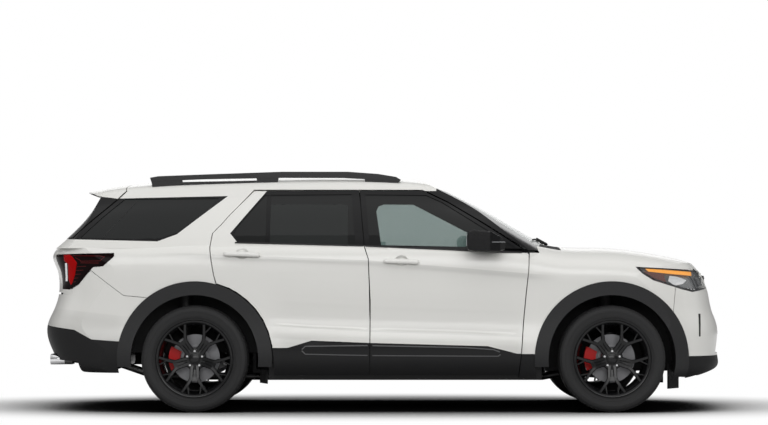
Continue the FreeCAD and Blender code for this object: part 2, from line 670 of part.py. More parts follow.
def fender():
    outline = [(900, 250), (900, 1300), (2600, 1300), (2600, 700), (2120, 700), (2100, 250)]
    region = side_prism(outline, -1100, -HOOD_HALF - GAP / 2)
    r0 = FRONT_PIN_X - front_gap(200) - GAP / 2
    r1 = FRONT_PIN_X - front_gap(1300) - GAP / 2
    behind = box(700, FRONT_PIN_X, -1200, 0, 0, 1087).cut(hinge_cone(FRONT_PIN_X, r0, r1))
    door_zone = side_prism([(700, 1080), (1124, 1080), (1044, 1175), (700, 1400)], -1200, 0)
    door_zone = door_zone.cut(hinge_cone(FRONT_PIN_X, r0, r1))
    region = region.cut([cyl_y(ARCH_TRIM_R, AXLE_F, HUB_Z, -1100, -400), lamp_region(3), behind,
                         door_zone, box(700, 1044, -1200, 0, 1000, 1400), bumper_region(-1)])
    return largest(low_panel(region, 0, FENDER_T).cut(high(-6, True)))


def bumper_region(side):
    d = side * GAP / 4
    outline = [(2128 + d, 905), (2092 + d, 560), (2092 + d, 100), (2700, 100), (2700, 905)]
    return side_prism(outline, -1200, 1)


GRILLE = [(0, 1000), (-540, 990), (-604, 930), (-500, 700), (0, 690)]


def front_bumper():
    region = bumper_region(1)
    region = region.fuse(box(2353, 2700, -LAMP_INNER + 4, 0, 905, 1040))
    region = region.cut([cyl_y(ARCH_TRIM_R, AXLE_F, HUB_Z, -1100, -400), lamp_region(3),
                         cross_prism(GRILLE, 2200, 2700)])
    shell = low_panel(region.common(box(2000, 2700, -1100, 0, 222, 1100)), 0, PANEL_T)
    intake = cross_prism([(0, 560), (-560, 560), (-640, 420), (0, 420)], 2200, 2700)
    slot = cross_prism([(-770, 700), (-738, 700), (-752, 530), (-790, 530)], 2200, 2700)
    return with_mirror(largest(shell.cut([intake, slot])))


def grille():
    inner = [(0, 978), (-522, 968), (-574, 924), (-478, 722), (0, 712)]
    ring = cross_prism([(1, GRILLE[0][1])] + GRILLE[1:-1] + [(1, GRILLE[-1][1])], 2200, 2700)
    ring = ring.cut(cross_prism([(2, 978)] + inner[1:-1] + [(2, 712)], 2200, 2700))
    bars = [box(2200, 2700, -600, 0, z, z + 9) for z in range(748, 1000, 36)]
    bars += [box(2200, 2700, -y - 9, -y, 700, 1020) for y in range(36, 560, 60)]
    mesh = fuse(bars).common(cross_prism(GRILLE, 2200, 2700)).common(nose_sheet(-6, 22))
    frame = ring.common(box(2200, 2700, -700, 0, 600, 1100)).common(nose_sheet(0, 34))
    return with_mirror(solids(fuse([frame, mesh])))


def nose_sheet(front, depth):
    """A curved plate that leans back with the nose."""
    plan = [(0, 0.0), (9, 0.29), (50, 0.58), (110, 0.71)]
    outer = [V(2486 + front - s, -f * 992, 680) for s, f in plan]
    inner = [V(2486 + front - depth - s, -f * 992, 680) for s, f in reversed(plan)]
    edges = [spline_edge(outer), Part.LineSegment(outer[-1], inner[0]).toShape(),
             spline_edge(inner), Part.LineSegment(inner[-1], outer[0]).toShape()]
    return Part.Face(Part.Wire(edges)).extrude(V(-80, 0, 360))


def headlamps():
    region = side_prism(HEADLAMP, -1100, -LAMP_INNER)
    return pair(solids(low_panel(region, 1, 70)))


def tail_lamps():
    region = side_prism(TAIL_LAMP, -1100, -GATE_HALF_LOW - GAP / 2)
    return pair(solids(low_panel(region, -3, 60)))


def rear_bumper():
    region = side_prism([(x, z - 4) for x, z in REAR_BUMPER], -1100, 0)
    region = region.cut([cyl_y(ARCH_TRIM_R, AXLE_R, HUB_Z, -1100, -400), gate_region(-1),
                         side_prism(TAIL_LAMP_GROWN, -1100, -500)])
    under = [(-2700, 0), (-2700, 385), (-2300, 372), (-2215, 366), (-2195, 286), (-2195, 0)]
    region = region.cut(side_prism(under, -1100, 1))
    shell = low_panel(region.common(box(-2700, -1700, -1100, 0, 286, 1040)), 0, PANEL_T)
    shell = shell.cut(side_prism([(-2250, 200), (-2250, 420), (-2600, 420), (-2600, 200)],
                                 -740, -540))
    return with_mirror(solids(shell))


def cladding():
    out = []
    for x in (AXLE_F, AXLE_R):
        ring = cyl_y(ARCH_TRIM_R, x, HUB_Z, -1100, -700).cut(cyl_y(ARCH_R, x, HUB_Z, -1101, -699))
        ring = ring.cut(box(x - 700, x + (0 if x > 0 else 700), -1101, -600, 0, 330))
        if x == AXLE_F:
            ring = ring.cut(box(x, x + 700, -1101, -600, 0, 236))
            r0 = FRONT_PIN_X - front_gap(200) - GAP / 2
            r1 = FRONT_PIN_X - front_gap(1300) - GAP / 2
            behind = box(700, FRONT_PIN_X, -1200, 0, 0, 1087)
            ring = ring.cut(behind.cut(hinge_cone(FRONT_PIN_X, r0, r1)))
        out.append(largest(proud(ring).cut(low(FENDER_T, True))))
    return Part.makeCompound([s for p in out for s in pair(p).Solids])


def roof_rails():
    top = [(-1721, 1716), (-1660, 1727), (-1322, 1740), (-745, 1760), (-257, 1760), (-35, 1744)]
    top += [(98, 1722), (135, 1700)]
    bottom = [(120, 1684), (60, 1690), (-60, 1702), (-300, 1714), (-745, 1715), (-1322, 1704)]
    bottom += [(-1620, 1692), (-1712, 1686)]
    bar = side_prism(top + bottom, -640, -606)
    feet = [[(-1714, 1700), (-1484, 1708), (-1470, 1640), (-1700, 1630)],
            [(-936, 1722), (-768, 1722), (-784, 1650), (-920, 1650)],
            [(-139, 1722), (112, 1700), (112, 1640), (-120, 1640)],
            [(-1490, 1684), (-900, 1696), (-900, 1640), (-1490, 1630)]]
    feet = [side_prism(outline, -636, -610) for outline in feet]
    return pair(largest(fuse([bar] + feet).cut(high(0))))


# running gear
def revolve_y(profile, x, z, side):
    """Profile of (radius, offset from the wheel's mid plane, outward positive)."""
    pts = [V(x, -side * off, z + r) for r, off in profile]
    wire = Part.makePolygon(pts + [pts[0]])
    return Part.Face(wire).revolve(V(x, 0, z), V(0, 1, 0), 360)


def tyre(x, y):
    h = TYRE_W / 2
    half = [(SEAT_R + 0.3, h - 22.1), (280, h - 22.1), (284, h - 15), (300, h - 6), (330, h - 1)]
    half += [(352, h), (372, h - 9), (383, h - 26), (TYRE_R - 1, h - 55), (TYRE_R, 0)]
    profile = half + [(r, -off) for r, off in reversed(half[:-1])]
    inner = [(SEAT_R - 5, h - 46), (SEAT_R + 1, h - 45), (350, h - 20), (364, 0), (350, -h + 20)]
    inner += [(SEAT_R + 1, -h + 45), (SEAT_R - 5, -h + 46)]
    body = revolve_y(profile, x, HUB_Z, 1).cut(revolve_y(inner, x, HUB_Z, 1))
    body.translate(V(0, y, 0))
    return body


def spoke(angle, r0, r1, a0, a1, w0, w1, y0, y1):
    """A straight bar in the wheel plane from polar (r0, a0) to (r1, a1)."""
    p0 = (r0 * math.sin(math.radians(angle + a0)), r0 * math.cos(math.radians(angle + a0)))
    p1 = (r1 * math.sin(math.radians(angle + a1)), r1 * math.cos(math.radians(angle + a1)))
    dx, dz = p1[0] - p0[0], p1[1] - p0[1]
    n = math.hypot(dx, dz)
    nx, nz = -dz / n, dx / n
    pts = [(p0[0] + nx * w0, p0[1] + nz * w0), (p1[0] + nx * w1, p1[1] + nz * w1)]
    pts += [(p1[0] - nx * w1, p1[1] - nz * w1), (p0[0] - nx * w0, p0[1] - nz * w0)]
    return side_prism(pts, y0, y1)


def wheel_disc():
    """Spokes, hub and lug seats about the origin, outer face towards -Y.

    Each spoke is a pair of bars with a slot between them; near 150 mm they join and
    fork to the rim, and a thin web stands inside each fork.
    """
    arms = [cyl_y(80, 0, 0, -140, 40)]
    for i in range(SPOKE_PAIRS):
        a = (i + 0.5) * 360.0 / SPOKE_PAIRS
        for s in (-1, 1):
            arms.append(spoke(a, 60, 158, s * 24, s * 9.2, 9.5, 9, -140, 40))
            arms.append(spoke(a, 146, 274, s * 10.0, s * 20.5, 10, 7.5, -140, 40))
            arms.append(spoke(a, 205, 274, s * 13.0, s * 8.0, 3.6, 3.2, -140, 40))
        arms.append(spoke(a, 134, 158, 0, 0, 26, 30, -140, 40))
    pattern = fuse(arms)
    dish = [(0, 84), (58, 84), (84, 92), (150, 112), (230, 119), (262, 119), (262, 96), (240, 92)]
    dish += [(160, 82), (90, 56), (78, 44), (0, 44)]
    shape = pattern.common(revolve_y(dish, 0, 0, 1))
    seats_, nuts = [], []
    for i in range(LUG_COUNT):
        a = math.radians(i * 360.0 / LUG_COUNT)
        x, z = PCD / 2 * math.sin(a), PCD / 2 * math.cos(a)
        seats_.append(cyl_y(15, x, z, -120, -66))
        nuts.append(cyl_y(10.5, x, z, -82, -60))
    shape = shape.cut(seats_)
    cap = revolve_y([(0, 80), (0, 92), (22, 91), (30, 87), (32, 80)], 0, 0, 1)
    return fuse([shape, cap] + nuts)


def rim_barrel():
    h = TYRE_W / 2
    out = [(SEAT_R, h - 24), (SEAT_R, h - 21.5), (RIM_R, h - 21.5), (RIM_R, h - 13), (270, h - 12)]
    out += [(258, h - 20), (254, h - 40), (236, h - 80), (236, -h + 60), (255, -h + 30)]
    out += [(270, -h + 12), (RIM_R, -h + 13), (RIM_R, -h + 21.5), (SEAT_R, -h + 21.5)]
    out += [(SEAT_R, -h + 50), (246, -h + 64), (246, h - 90), (SEAT_R, h - 46)]
    return revolve_y(out, 0, 0, 1)


def rim():
    parts = [wheel_disc(), rim_barrel()]
    hub = revolve_y([(SPINDLE_R + RUNNING, 45), (78, 45), (78, 20), (62, 14), (62, -2),
                     (SPINDLE_R + RUNNING, -2)], 0, 0, 1)
    hat = revolve_y([(70, 22), (98, 20), (98, -8), (DISC_R, -8), (DISC_R, -17), (92, -17),
                     (92, 8), (60, 8), (60, 22)], 0, 0, 1)
    outer = revolve_y([(98, -20), (DISC_R, -20), (DISC_R, -38), (98, -38)], 0, 0, 1)
    ribs = [spoke(i * 15, 100, DISC_R - 2, 0, 0, 3, 4, 16.5, 38) for i in range(24)]
    back = revolve_y([(96, -29), (DISC_R, -29), (DISC_R, -38), (96, -38)], 0, 0, 1)
    return fuse(parts + [hub, hat, back] + ribs)


def caliper(x):
    """Fixed caliper on the rear side of the disc, opening over its rim."""
    band = revolve_y([(112, 12), (196, 12), (196, -62), (112, -62)], 0, 0, 1)
    slot = revolve_y([(90, 0), (182, 0), (182, -46), (90, -46)], 0, 0, 1)
    sector = side_prism([(0, 0), (-300, 150), (-300, -150)], -100, 100)
    body = band.cut(slot).common(sector)
    body.translate(V(x, -HALF_TRACK, HUB_Z))
    return body


def knuckle():
    """Steered carrier: spindle, upright on the kingpin line, caliper and its bracket."""
    y = -HALF_TRACK
    spindle = cyl_y(SPINDLE_R, AXLE_F, HUB_Z, y - 40, -KING_Y)
    shoulder = cyl_y(52, AXLE_F, HUB_Z, y + 46, -KING_Y + 20)
    post = box(AXLE_F - 36, AXLE_F + 36, -KING_Y - 28, -KING_Y + 24, HUB_Z - 108, HUB_Z + 150)
    balls = [cyl_z(20, AXLE_F, -KING_Y, HUB_Z - 128, HUB_Z - 100)]
    balls.append(cyl_z(20, AXLE_F, -KING_Y, HUB_Z + 148, HUB_Z + 172))
    ear = box(AXLE_F - 150, AXLE_F - 20, y + 60, y + 84, HUB_Z - 40, HUB_Z + 40)
    arm = box(AXLE_F - 60, AXLE_F - 20, y + 60, -KING_Y + 24, HUB_Z - 40, HUB_Z + 40)
    return fuse([spindle, shoulder, post, ear, arm, caliper(AXLE_F)] + balls)


def front_suspension():
    parts = [box(1470, 1870, -430, 430, 250, 306)]
    for s in (-1, 1):
        for x in (1480, 1800):
            y0, y1 = (380, 430) if s > 0 else (-430, -380)
            parts.append(box(x, x + 60, y0, y1, 300, 430))
        foot = cyl_z(30, AXLE_F, s * KING_Y, HUB_Z - 150, HUB_Z - 128.2)
        arm = [(AXLE_F - 28, s * KING_Y), (AXLE_F + 28, s * KING_Y), (AXLE_F + 120, s * 400),
               (AXLE_F - 180, s * 400)]
        cup = cyl_z(30, AXLE_F, s * KING_Y, HUB_Z + 172.2, HUB_Z + 190)
        link = [(AXLE_F - 26, s * KING_Y), (AXLE_F + 26, s * KING_Y), (AXLE_F + 50, s * 560),
                (AXLE_F + 80, s * 475), (AXLE_F - 80, s * 475), (AXLE_F - 50, s * 560)]
        strut = rod((AXLE_F, s * 600, HUB_Z - 136), (AXLE_F - 14, s * 560, 900), 22)
        spring = rod((AXLE_F - 7, s * 582, 610), (AXLE_F - 13, s * 564, 840), 50)
        liner = cyl_y(LINER_R - 0.3, AXLE_F, HUB_Z, -900, 900)
        parts += [foot, plan_prism(arm, HUB_Z - 150, HUB_Z - 132), cup, strut.common(liner), spring]
        parts.append(plan_prism(link, HUB_Z + 172.2, HUB_Z + 190))
    return fuse(parts)


def rear_suspension():
    parts = [box(-1560, -1212, -540, 540, 300, 350)]
    for s in (-1, 1):
        yy = s * HALF_TRACK
        parts += [span(a, b, s * 490, s * 540, 340, 430) for a, b in ((-1560, -1500), (-1272, -1212))]
        parts.append(rod((AXLE_R, yy + s * 40, HUB_Z), (AXLE_R, s * 690, HUB_Z), SPINDLE_R))
        parts.append(rod((AXLE_R, yy - s * 46, HUB_Z), (AXLE_R, s * 700, HUB_Z), 52))
        parts.append(span(AXLE_R - 100, AXLE_R + 60, s * 690, s * 740, HUB_Z - 120, HUB_Z + 120))
        parts.append(span(AXLE_R - 120, AXLE_R + 60, s * 400, s * 705, HUB_Z - 118, HUB_Z - 84))
        parts.append(rod((AXLE_R - 80, s * 700, 404), (AXLE_R - 86, s * 400, 400), 16))
        parts.append(span(-1470, -1420, s * 380, s * 420, 340, 420))
        damper = rod((AXLE_R - 90, s * 662, HUB_Z - 100), (AXLE_R - 90, s * 640, 900), 22)
        liner = cyl_y(LINER_R - 0.3, AXLE_R, HUB_Z, -900, 900)
        parts += [damper.common(liner), rod((AXLE_R - 90, s * 656, 560), (AXLE_R - 90, s * 644, 840), 42)]
        parts.append(span(AXLE_R - 150, AXLE_R - 30, yy - s * 60, yy - s * 84, HUB_Z - 40, HUB_Z + 40))
        parts.append(span(AXLE_R - 100, AXLE_R - 30, s * 735, yy - s * 64, HUB_Z - 40, HUB_Z + 40))
        parts.append(caliper(AXLE_R) if s < 0 else mirror(caliper(AXLE_R)))
    return fuse(parts)


def span(x0, x1, ya, yb, z0, z1):
    return box(x0, x1, min(ya, yb), max(ya, yb), z0, z1)


def wheel_house(x, inner, foot):
    """Half-round liner over a wheel, with its inner wall, on the right."""
    shell = cyl_y(LINER_R + 8, x, HUB_Z, -925, -inner + 8)
    shell = shell.cut(cyl_y(LINER_R, x, HUB_Z, -949, -inner))
    shell = shell.cut(box(x - 600, x + 600, -1000, 0, -200, foot))
    return shell.common(low(FENDER_T, True)) if x > 0 else shell


def floor_pan():
    half = [box(-880, 1100, -744, 0, 272, 300), box(1090, 1200, -690, 0, 272, 300)]
    half += [box(-960, -870, -588, 0, 272, 300), box(-960, -936, -588, 0, 272, 540)]
    half += [box(-2330, -940, -592, 0, 512, 540), box(-2400, -2330, -540, 0, 420, 540)]
    half += [box(1176, 1206, -690, 0, 272, 1150), box(-940, 1190, -170, 0, 299, 420)]
    half += [box(-2200, -940, -588, -500, 430, 514), box(1200, 2330, -456, -380, 430, 530)]
    half += [box(2300, 2340, -700, 0, 420, 520), box(-2300, -1990, -470, 0, 539, 548)]
    half.append(box(1200, 1230, -470, -360, 290, 530))
    half = fuse(half).cut([box(-1000, 1240, -150, 1, 200, 400),
                           cyl_y(LINER_R, AXLE_F, HUB_Z, -1000, -470),
                           cyl_y(LINER_R, AXLE_R, HUB_Z, -1000, -592)])
    flap_f = [(2098, -628), (2190, -480), (2201, -487), (2109, -635)]
    flap_r = [(-906, -640), (-848, -820), (-838, -816), (-896, -636)]
    flaps = [plan_prism(flap_f, 158, 340), plan_prism(flap_r, 203, 300)]
    return fuse([half, wheel_house(AXLE_F, 470, 285), wheel_house(AXLE_R, 600, 424), cowl()] + flaps)


def tow_socket():
    """Threaded socket for a towing eye, standing on the front cross member."""
    return cyl_x(18, -480, 470, 2340.3, 2400).cut(cyl_x(9, -480, 470, 2345, 2410))


def cowl():
    """Right half of the panel between hood and windshield, with the hood hinge brackets."""
    region = box(1160, HOOD_PIN_X + HOOD_PIN_R, -HOOD_HALF + 4, 0, 1120, 1300)
    y0, y1 = HOOD_ARM_Y
    drum = cyl_y(HOOD_PIN_R, HOOD_PIN_X, HOOD_PIN_Z, -1100, 2)
    beyond = box(HOOD_PIN_X, 1400, -1100, 1, 1000, 1400).cut(drum)
    region = region.cut([beyond, box(HOOD_PIN_X - 16, 1400, -y1 - 6, -y0 + 6, 1100, 1300)])
    shell = region.common(low(1)).cut([low(12, True), high(-1, True)])
    lugs = [box(HOOD_PIN_X - 18, HOOD_PIN_X + 18, a, b, 1146, 1216)
            for a, b in ((-y1 - 20, -y1 - 0.5), (-y0 + 0.5, -y0 + 20))]
    base = box(1178, HOOD_PIN_X + 18, -y1 - 20, -y0 + 20, 1132, 1152)
    pin = cyl_y(PIN_R, HOOD_PIN_X, HOOD_PIN_Z, -y1 - 19, -y0 + 19)
    return fuse([largest(shell), base, pin] + [p.common(low(1)) for p in lugs])


def engine():
    return box(1400, 2020, -340, 340, 306, 930)


def driveline():
    shaft = rod((1399.8, 0, 345), (-1206, 0, 356), 36)
    case = soft_box(-1490, -1200, -150, 150, 350, 500, 30)
    halves = [rod((AXLE_R, s * 140, HUB_Z + 6), (AXLE_R, s * 689.6, HUB_Z), 20) for s in (-1, 1)]
    return fuse([shaft, case] + halves)


def exhaust():
    pipe = tube_path([(1380, -150, 262), (1200, -260, 236), (-900, -260, 236), (-1100, -330, 240),
                      (-1700, -330, 240), (-1960, -330, 330)], 28)
    silencer = soft_box(-2250, -1940, -485, 485, 296, 410, 40)
    hangers = [box(-2000, -1960, s * 300 - 12, s * 300 + 12, 380, 511.7) for s in (-1, 1)]
    hangers += [box(x, x + 40, -272, -248, 250, 271.7) for x in (-700, 300)]
    tips = []
    for s in (-1, 1):
        for y in (600, 690):
            outer = rod((-2280, s * y, 378), (-2440, s * y, 378), 38)
            bore = rod((-2320, s * y, 378), (-2450, s * y, 378), 34)
            tips.append(outer.cut(bore))
        tips.append(rod((-2230, s * 470, 360), (-2292, s * 645, 378), 24))
        tips.append(rod((-2292, s * 600, 378), (-2292, s * 690, 378), 20))
    return fuse([pipe, silencer] + hangers + tips)


# cabin
def column_frame(shape):
    shape.rotate(V(0, 0, 0), V(0, 1, 0), 22)
    shape.translate(V(560, 380, 1120))
    return shape


def dashboard():
    section = [(1176, 700), (1176, 1110), (1040, 1150), (860, 1128), (800, 1080), (812, 980),
               (900, 820), (960, 700)]
    body = side_prism(section, -700, 700)
    hood_over = side_prism([(900, 1120), (780, 1128), (790, 1168), (900, 1160)], 230, 530)
    console = box(120, 1000, -130, 130, 420, 760)
    screen_tab = box(792, 812, -110, 110, 1060, 1230)
    bore = column_frame(Part.makeCylinder(26.3, 320, V(20, 0, 0), V(1, 0, 0)))
    return fuse([body, hood_over, console, screen_tab]).cut(bore)


def steering_wheel():
    ring = Part.makeTorus(178, 14, V(0, 0, 0), V(1, 0, 0))
    hub = Part.makeCylinder(52, 46, V(-10, 0, 0), V(1, 0, 0))
    spokes = [box(0, 16, -176, 176, -16, 16), box(0, 16, -16, 16, -176, 0)]
    column = Part.makeCylinder(26, 300, V(20, 0, 0), V(1, 0, 0))
    return column_frame(fuse([ring, hub, column] + spokes))


def seat(x, y, z, width, back_top, floor):
    cushion = soft_box(x - 240, x + 270, y - width / 2, y + width / 2, z, z + 150, 45)
    back = soft_box(x - 300, x - 170, y - width / 2, y + width / 2, z + 60, back_top - 160, 45)
    base = box(x - 90, x + 200, y - width / 2 + 60, y + width / 2 - 60, floor, z + 60)
    head = soft_box(x - 290, x - 190, y - 130, y + 130, back_top - 150, back_top + 20, 38)
    post = [box(x - 245, x - 231, y + a - 7, y + a + 7, back_top - 200, back_top - 110)
            for a in (-60, 60)]
    upright = fuse([back, head] + post)
    upright.rotate(V(x - 235, y, z + 100), V(0, 1, 0), -16)
    return fuse([cushion, base, upright])


def seats():
    out = []
    for s in (-1, 1):
        out.append(seat(130, s * 380, 520, 500, 1300, 300.3))
        out.append(seat(-760, s * 350, 540, 460, 1320, 300.3))
        out.append(seat(-1500, s * 270, 600, 470, 1300, 540.3))
    return Part.makeCompound([p for o in out for p in o.Solids])


def mirror_shell():
    outline = [(604, 1204), (616, 1176), (644, 1167), (836, 1162), (878, 1178), (884, 1220)]
    outline += [(850, 1268), (778, 1308), (644, 1322), (612, 1308)]
    plan = [(600, -1134), (770, -1134), (846, -1112), (890, -1062), (890, -985), (600, -985)]
    housing = side_prism(outline, -1140, -985).common(plan_prism(plan, 1100, 1400))
    housing = housing.makeFillet(9, housing.Edges)
    stalk = box(690, 800, -1010, -930, 1180, 1212)
    return fuse([housing, stalk])


def save(name, shape):
    shape.exportStep("parts/%s.step" % name)


def build():
    front = front_door()
    rear = rear_door()
    glass_f = side_pane(WINDOW_FRONT)
    glass_r = side_pane(WINDOW_REAR)
    glass_q = side_pane(WINDOW_QUARTER)
    sides = {"door_front": front.cut(glass_f), "door_rear": rear.cut(glass_r)}
    sides.update({"glass_front": glass_f, "glass_rear": glass_r})
    sides.update({"side": side_frame().cut(glass_q), "mirror": mirror_shell().cut(front)})
    sides.update({"fender": fender(), "knuckle": knuckle()})
    nodes = {}
    for name, shape in sides.items():
        nodes[name + "_right"] = shape
        nodes[name + "_left"] = mirror(shape)
    nodes["roof"] = roof()
    nodes["fixed_glass"] = Part.makeCompound(screen().Solids + pair(glass_q).Solids)
    nodes["hood"] = hood()
    nodes["tailgate_glass"] = gate_glass()
    nodes["tailgate"] = tailgate().cut(nodes["tailgate_glass"])
    nodes["front_bumper"] = front_bumper()
    nodes["grille"] = grille()
    nodes["rear_bumper"] = rear_bumper()
    nodes["headlamps"] = headlamps()
    nodes["tail_lamps"] = tail_lamps()
    nodes["roof_rails"] = roof_rails()
    nodes["cladding"] = cladding()
    nodes["front_suspension"] = front_suspension()
    nodes["rear_suspension"] = rear_suspension()
    nodes["floor_pan"] = Part.makeCompound([with_mirror(floor_pan()), tow_socket()])
    nodes["engine"] = engine()
    nodes["driveline"] = driveline()
    nodes["exhaust"] = exhaust()
    nodes["dashboard"] = dashboard()
    nodes["steering_wheel"] = steering_wheel()
    nodes["seats"] = seats()
    disc = rim()
    for tag, x in (("front", AXLE_F), ("rear", AXLE_R)):
        for hand, s in (("right", -1), ("left", 1)):
            w = disc.copy() if s < 0 else mirror(disc)
            w.translate(V(x, s * HALF_TRACK, HUB_Z))
            nodes["rim_%s_%s" % (tag, hand)] = w
            nodes["tyre_%s_%s" % (tag, hand)] = tyre(x, s * HALF_TRACK)
    return nodes


if __name__ == "__main__":
    for node, shape in build().items():
        save(node, shape)
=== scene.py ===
import math
import bmesh
import bpy
from mathutils import Matrix, Vector
from mathutils.bvhtree import BVHTree


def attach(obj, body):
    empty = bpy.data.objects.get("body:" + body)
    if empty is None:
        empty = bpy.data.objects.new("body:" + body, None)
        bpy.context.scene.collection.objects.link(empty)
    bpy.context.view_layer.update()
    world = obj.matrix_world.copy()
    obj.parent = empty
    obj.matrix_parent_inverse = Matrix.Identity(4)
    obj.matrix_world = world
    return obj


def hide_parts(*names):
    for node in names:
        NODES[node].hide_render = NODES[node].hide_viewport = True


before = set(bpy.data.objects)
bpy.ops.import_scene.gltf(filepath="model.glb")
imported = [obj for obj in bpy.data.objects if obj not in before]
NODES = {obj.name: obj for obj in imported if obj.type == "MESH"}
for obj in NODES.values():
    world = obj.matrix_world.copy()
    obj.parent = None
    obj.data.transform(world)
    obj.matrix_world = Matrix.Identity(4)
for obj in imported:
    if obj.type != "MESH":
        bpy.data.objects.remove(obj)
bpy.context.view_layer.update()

AXLE_F, AXLE_R = 1.662, -1.363
HUB_Z = 0.388
HALF_TRACK = 0.850
TYRE_R = 0.388
SIDES = (("right", -1), ("left", 1))


# materials
def new_mat(name):
    m = bpy.data.materials.new(name)
    m.use_nodes = True
    nt = m.node_tree
    return m, nt, nt.nodes["Principled BSDF"]


def add(nt, kind, **values):
    n = nt.nodes.new(kind)
    for k, v in values.items():
        if k.startswith("in_"):
            n.inputs[int(k[3:])].default_value = v
        else:
            setattr(n, k, v)
    return n


def grain(nt, bsdf, scale, bump, spread=0.0, color=None, rough=None, kind="noise"):
    """Fine surface grain: bump, and a slight spread of roughness; returns the grain for the caller's colour
    spread.
    """
    coord = add(nt, "ShaderNodeTexCoord")
    if kind == "voronoi":
        tex = add(nt, "ShaderNodeTexVoronoi")
        tex.inputs["Scale"].default_value = scale
        out = tex.outputs["Distance"]
    else:
        tex = add(nt, "ShaderNodeTexNoise")
        tex.inputs["Scale"].default_value = scale
        tex.inputs["Detail"].default_value = 3.0
        out = tex.outputs["Fac"]
    nt.links.new(coord.outputs["Object"], tex.inputs["Vector"])
    if bump:
        b = add(nt, "ShaderNodeBump")
        b.inputs["Strength"].default_value = bump
        b.inputs["Distance"].default_value = 0.001
        nt.links.new(out, b.inputs["Height"])
        nt.links.new(b.outputs["Normal"], bsdf.inputs["Normal"])
    if spread and rough is not None:
        r = add(nt, "ShaderNodeMapRange")
        r.inputs["To Min"].default_value = max(0.0, rough - spread)
        r.inputs["To Max"].default_value = min(1.0, rough + spread)
        nt.links.new(out, r.inputs["Value"])
        nt.links.new(r.outputs["Result"], bsdf.inputs["Roughness"])
    return out


def surface(name, color, rough, metal=0.0, coat=0.0, scale=300.0, bump=0.1, spread=0.04,
            spec=0.5, kind="noise", emit=0.0, tint=0.06):
    m, nt, b = new_mat(name)
    b.inputs["Metallic"].default_value = metal
    b.inputs["Coat Weight"].default_value = coat
    b.inputs["Coat Roughness"].default_value = 0.06
    b.inputs["Specular IOR Level"].default_value = spec
    b.inputs["Roughness"].default_value = rough
    b.inputs["Base Color"].default_value = (*color, 1.0)
    out = grain(nt, b, scale, bump, spread, color, rough, kind)
    if tint:
        mix = add(nt, "ShaderNodeMix", data_type="RGBA")
        mix.inputs[6].default_value = (*[c * (1 - tint) for c in color], 1.0)
        mix.inputs[7].default_value = (*[min(1.0, c * (1 + tint)) for c in color], 1.0)
        nt.links.new(out, mix.inputs[0])
        nt.links.new(mix.outputs[2], b.inputs["Base Color"])
    if emit:
        b.inputs["Emission Color"].default_value = (*color, 1.0)
        b.inputs["Emission Strength"].default_value = emit
    return m


def math_node(nt, op, a, b=None):
    n = add(nt, "ShaderNodeMath", operation=op)
    for i, v in enumerate((a, b)):
        if v is None:
            continue
        if isinstance(v, (int, float)):
            n.inputs[i].default_value = v
        else:
            nt.links.new(v, n.inputs[i])
    return n.outputs[0]


def level(nt, x, points, smooth=False):
    """Value of the line through (x, value) points, held at both ends."""
    x0, x1 = points[0][0], points[-1][0]
    vals = [p[1] for p in points]
    v0, v1 = min(vals), max(vals)
    gap = (v1 - v0) or 1.0
    ramp = add(nt, "ShaderNodeMapRange")
    ramp.inputs["From Min"].default_value = x0
    ramp.inputs["From Max"].default_value = x1
    nt.links.new(x, ramp.inputs["Value"])
    curve = add(nt, "ShaderNodeFloatCurve")
    c = curve.mapping.curves[0]
    c.points[0].location = (0.0, (points[0][1] - v0) / gap)
    c.points[1].location = (1.0, (points[-1][1] - v0) / gap)
    for px, pv in points[1:-1]:
        c.points.new((px - x0) / (x1 - x0), (pv - v0) / gap)
    for p in c.points:
        p.handle_type = "AUTO_CLAMPED" if smooth else "VECTOR"
    curve.mapping.update()
    nt.links.new(ramp.outputs[0], curve.inputs["Value"])
    out = math_node(nt, "MULTIPLY_ADD", curve.outputs[0], gap)
    nt.nodes[-1].inputs[2].default_value = v0
    return out


def below_curve(nt, x, z, points):
    """1 where z is under the polyline through (x, z) points."""
    return math_node(nt, "LESS_THAN", z, level(nt, x, points))


def polygon(nt, x, z, corners):
    """1 inside a convex outline of (x, z) corners, counter-clockwise with x to the right."""
    zone = None
    for a, b in zip(corners, corners[1:] + corners[:1]):
        h = half_plane(nt, x, z, a, b)
        zone = h if zone is None else math_node(nt, "MULTIPLY", zone, h)
    return zone


# pressed lines of the body side: line, section of (height over the line, relief), fade along x
FOLDS = (
    ([(-1.45, 1.149), (-1.3225, 1.144), (-0.0995, 1.097), (0.60, 1.040), (1.21, 0.990), (1.50, 0.965)],
     [(-0.12, 0.0), (-0.060, 0.0002), (-0.006, 0.0052), (0.012, 0.0058), (0.10, 0.0030), (0.20, 0.0)],
     (-1.75, -1.10, 1.00, 1.32)),
    ([(-0.90, 0.624), (-0.798, 0.619), (-0.0995, 0.5785), (1.022, 0.5395), (1.20, 0.533)],
     [(-0.14, 0.0), (-0.09, 0.0010), (-0.004, 0.0080), (0.012, 0.0078), (0.075, 0.0010), (0.11, 0.0),
      (0.20, 0.0036), (0.30, 0.0090), (0.36, 0.0100)],
     (-0.92, -0.62, 0.92, 1.12)),
    ([(-2.45, 0.7560), (-2.36, 0.7520), (-1.85, 0.6960), (-1.60, 0.66)],
     [(-0.20, 0.0), (-0.10, 0.0030), (-0.004, 0.0110), (0.006, 0.0112), (0.08, 0.0098), (0.16, 0.0095)],
     (-2.60, -2.50, -1.95, -1.80)),
)


def fade(nt, x, a, b):
    m = add(nt, "ShaderNodeMapRange", interpolation_type="SMOOTHSTEP")
    m.inputs["From Min"].default_value = a
    m.inputs["From Max"].default_value = b
    nt.links.new(x, m.inputs["Value"])
    return m.outputs[0]


CUPS = ((0.136, 1.098), (-1.020, 1.150))


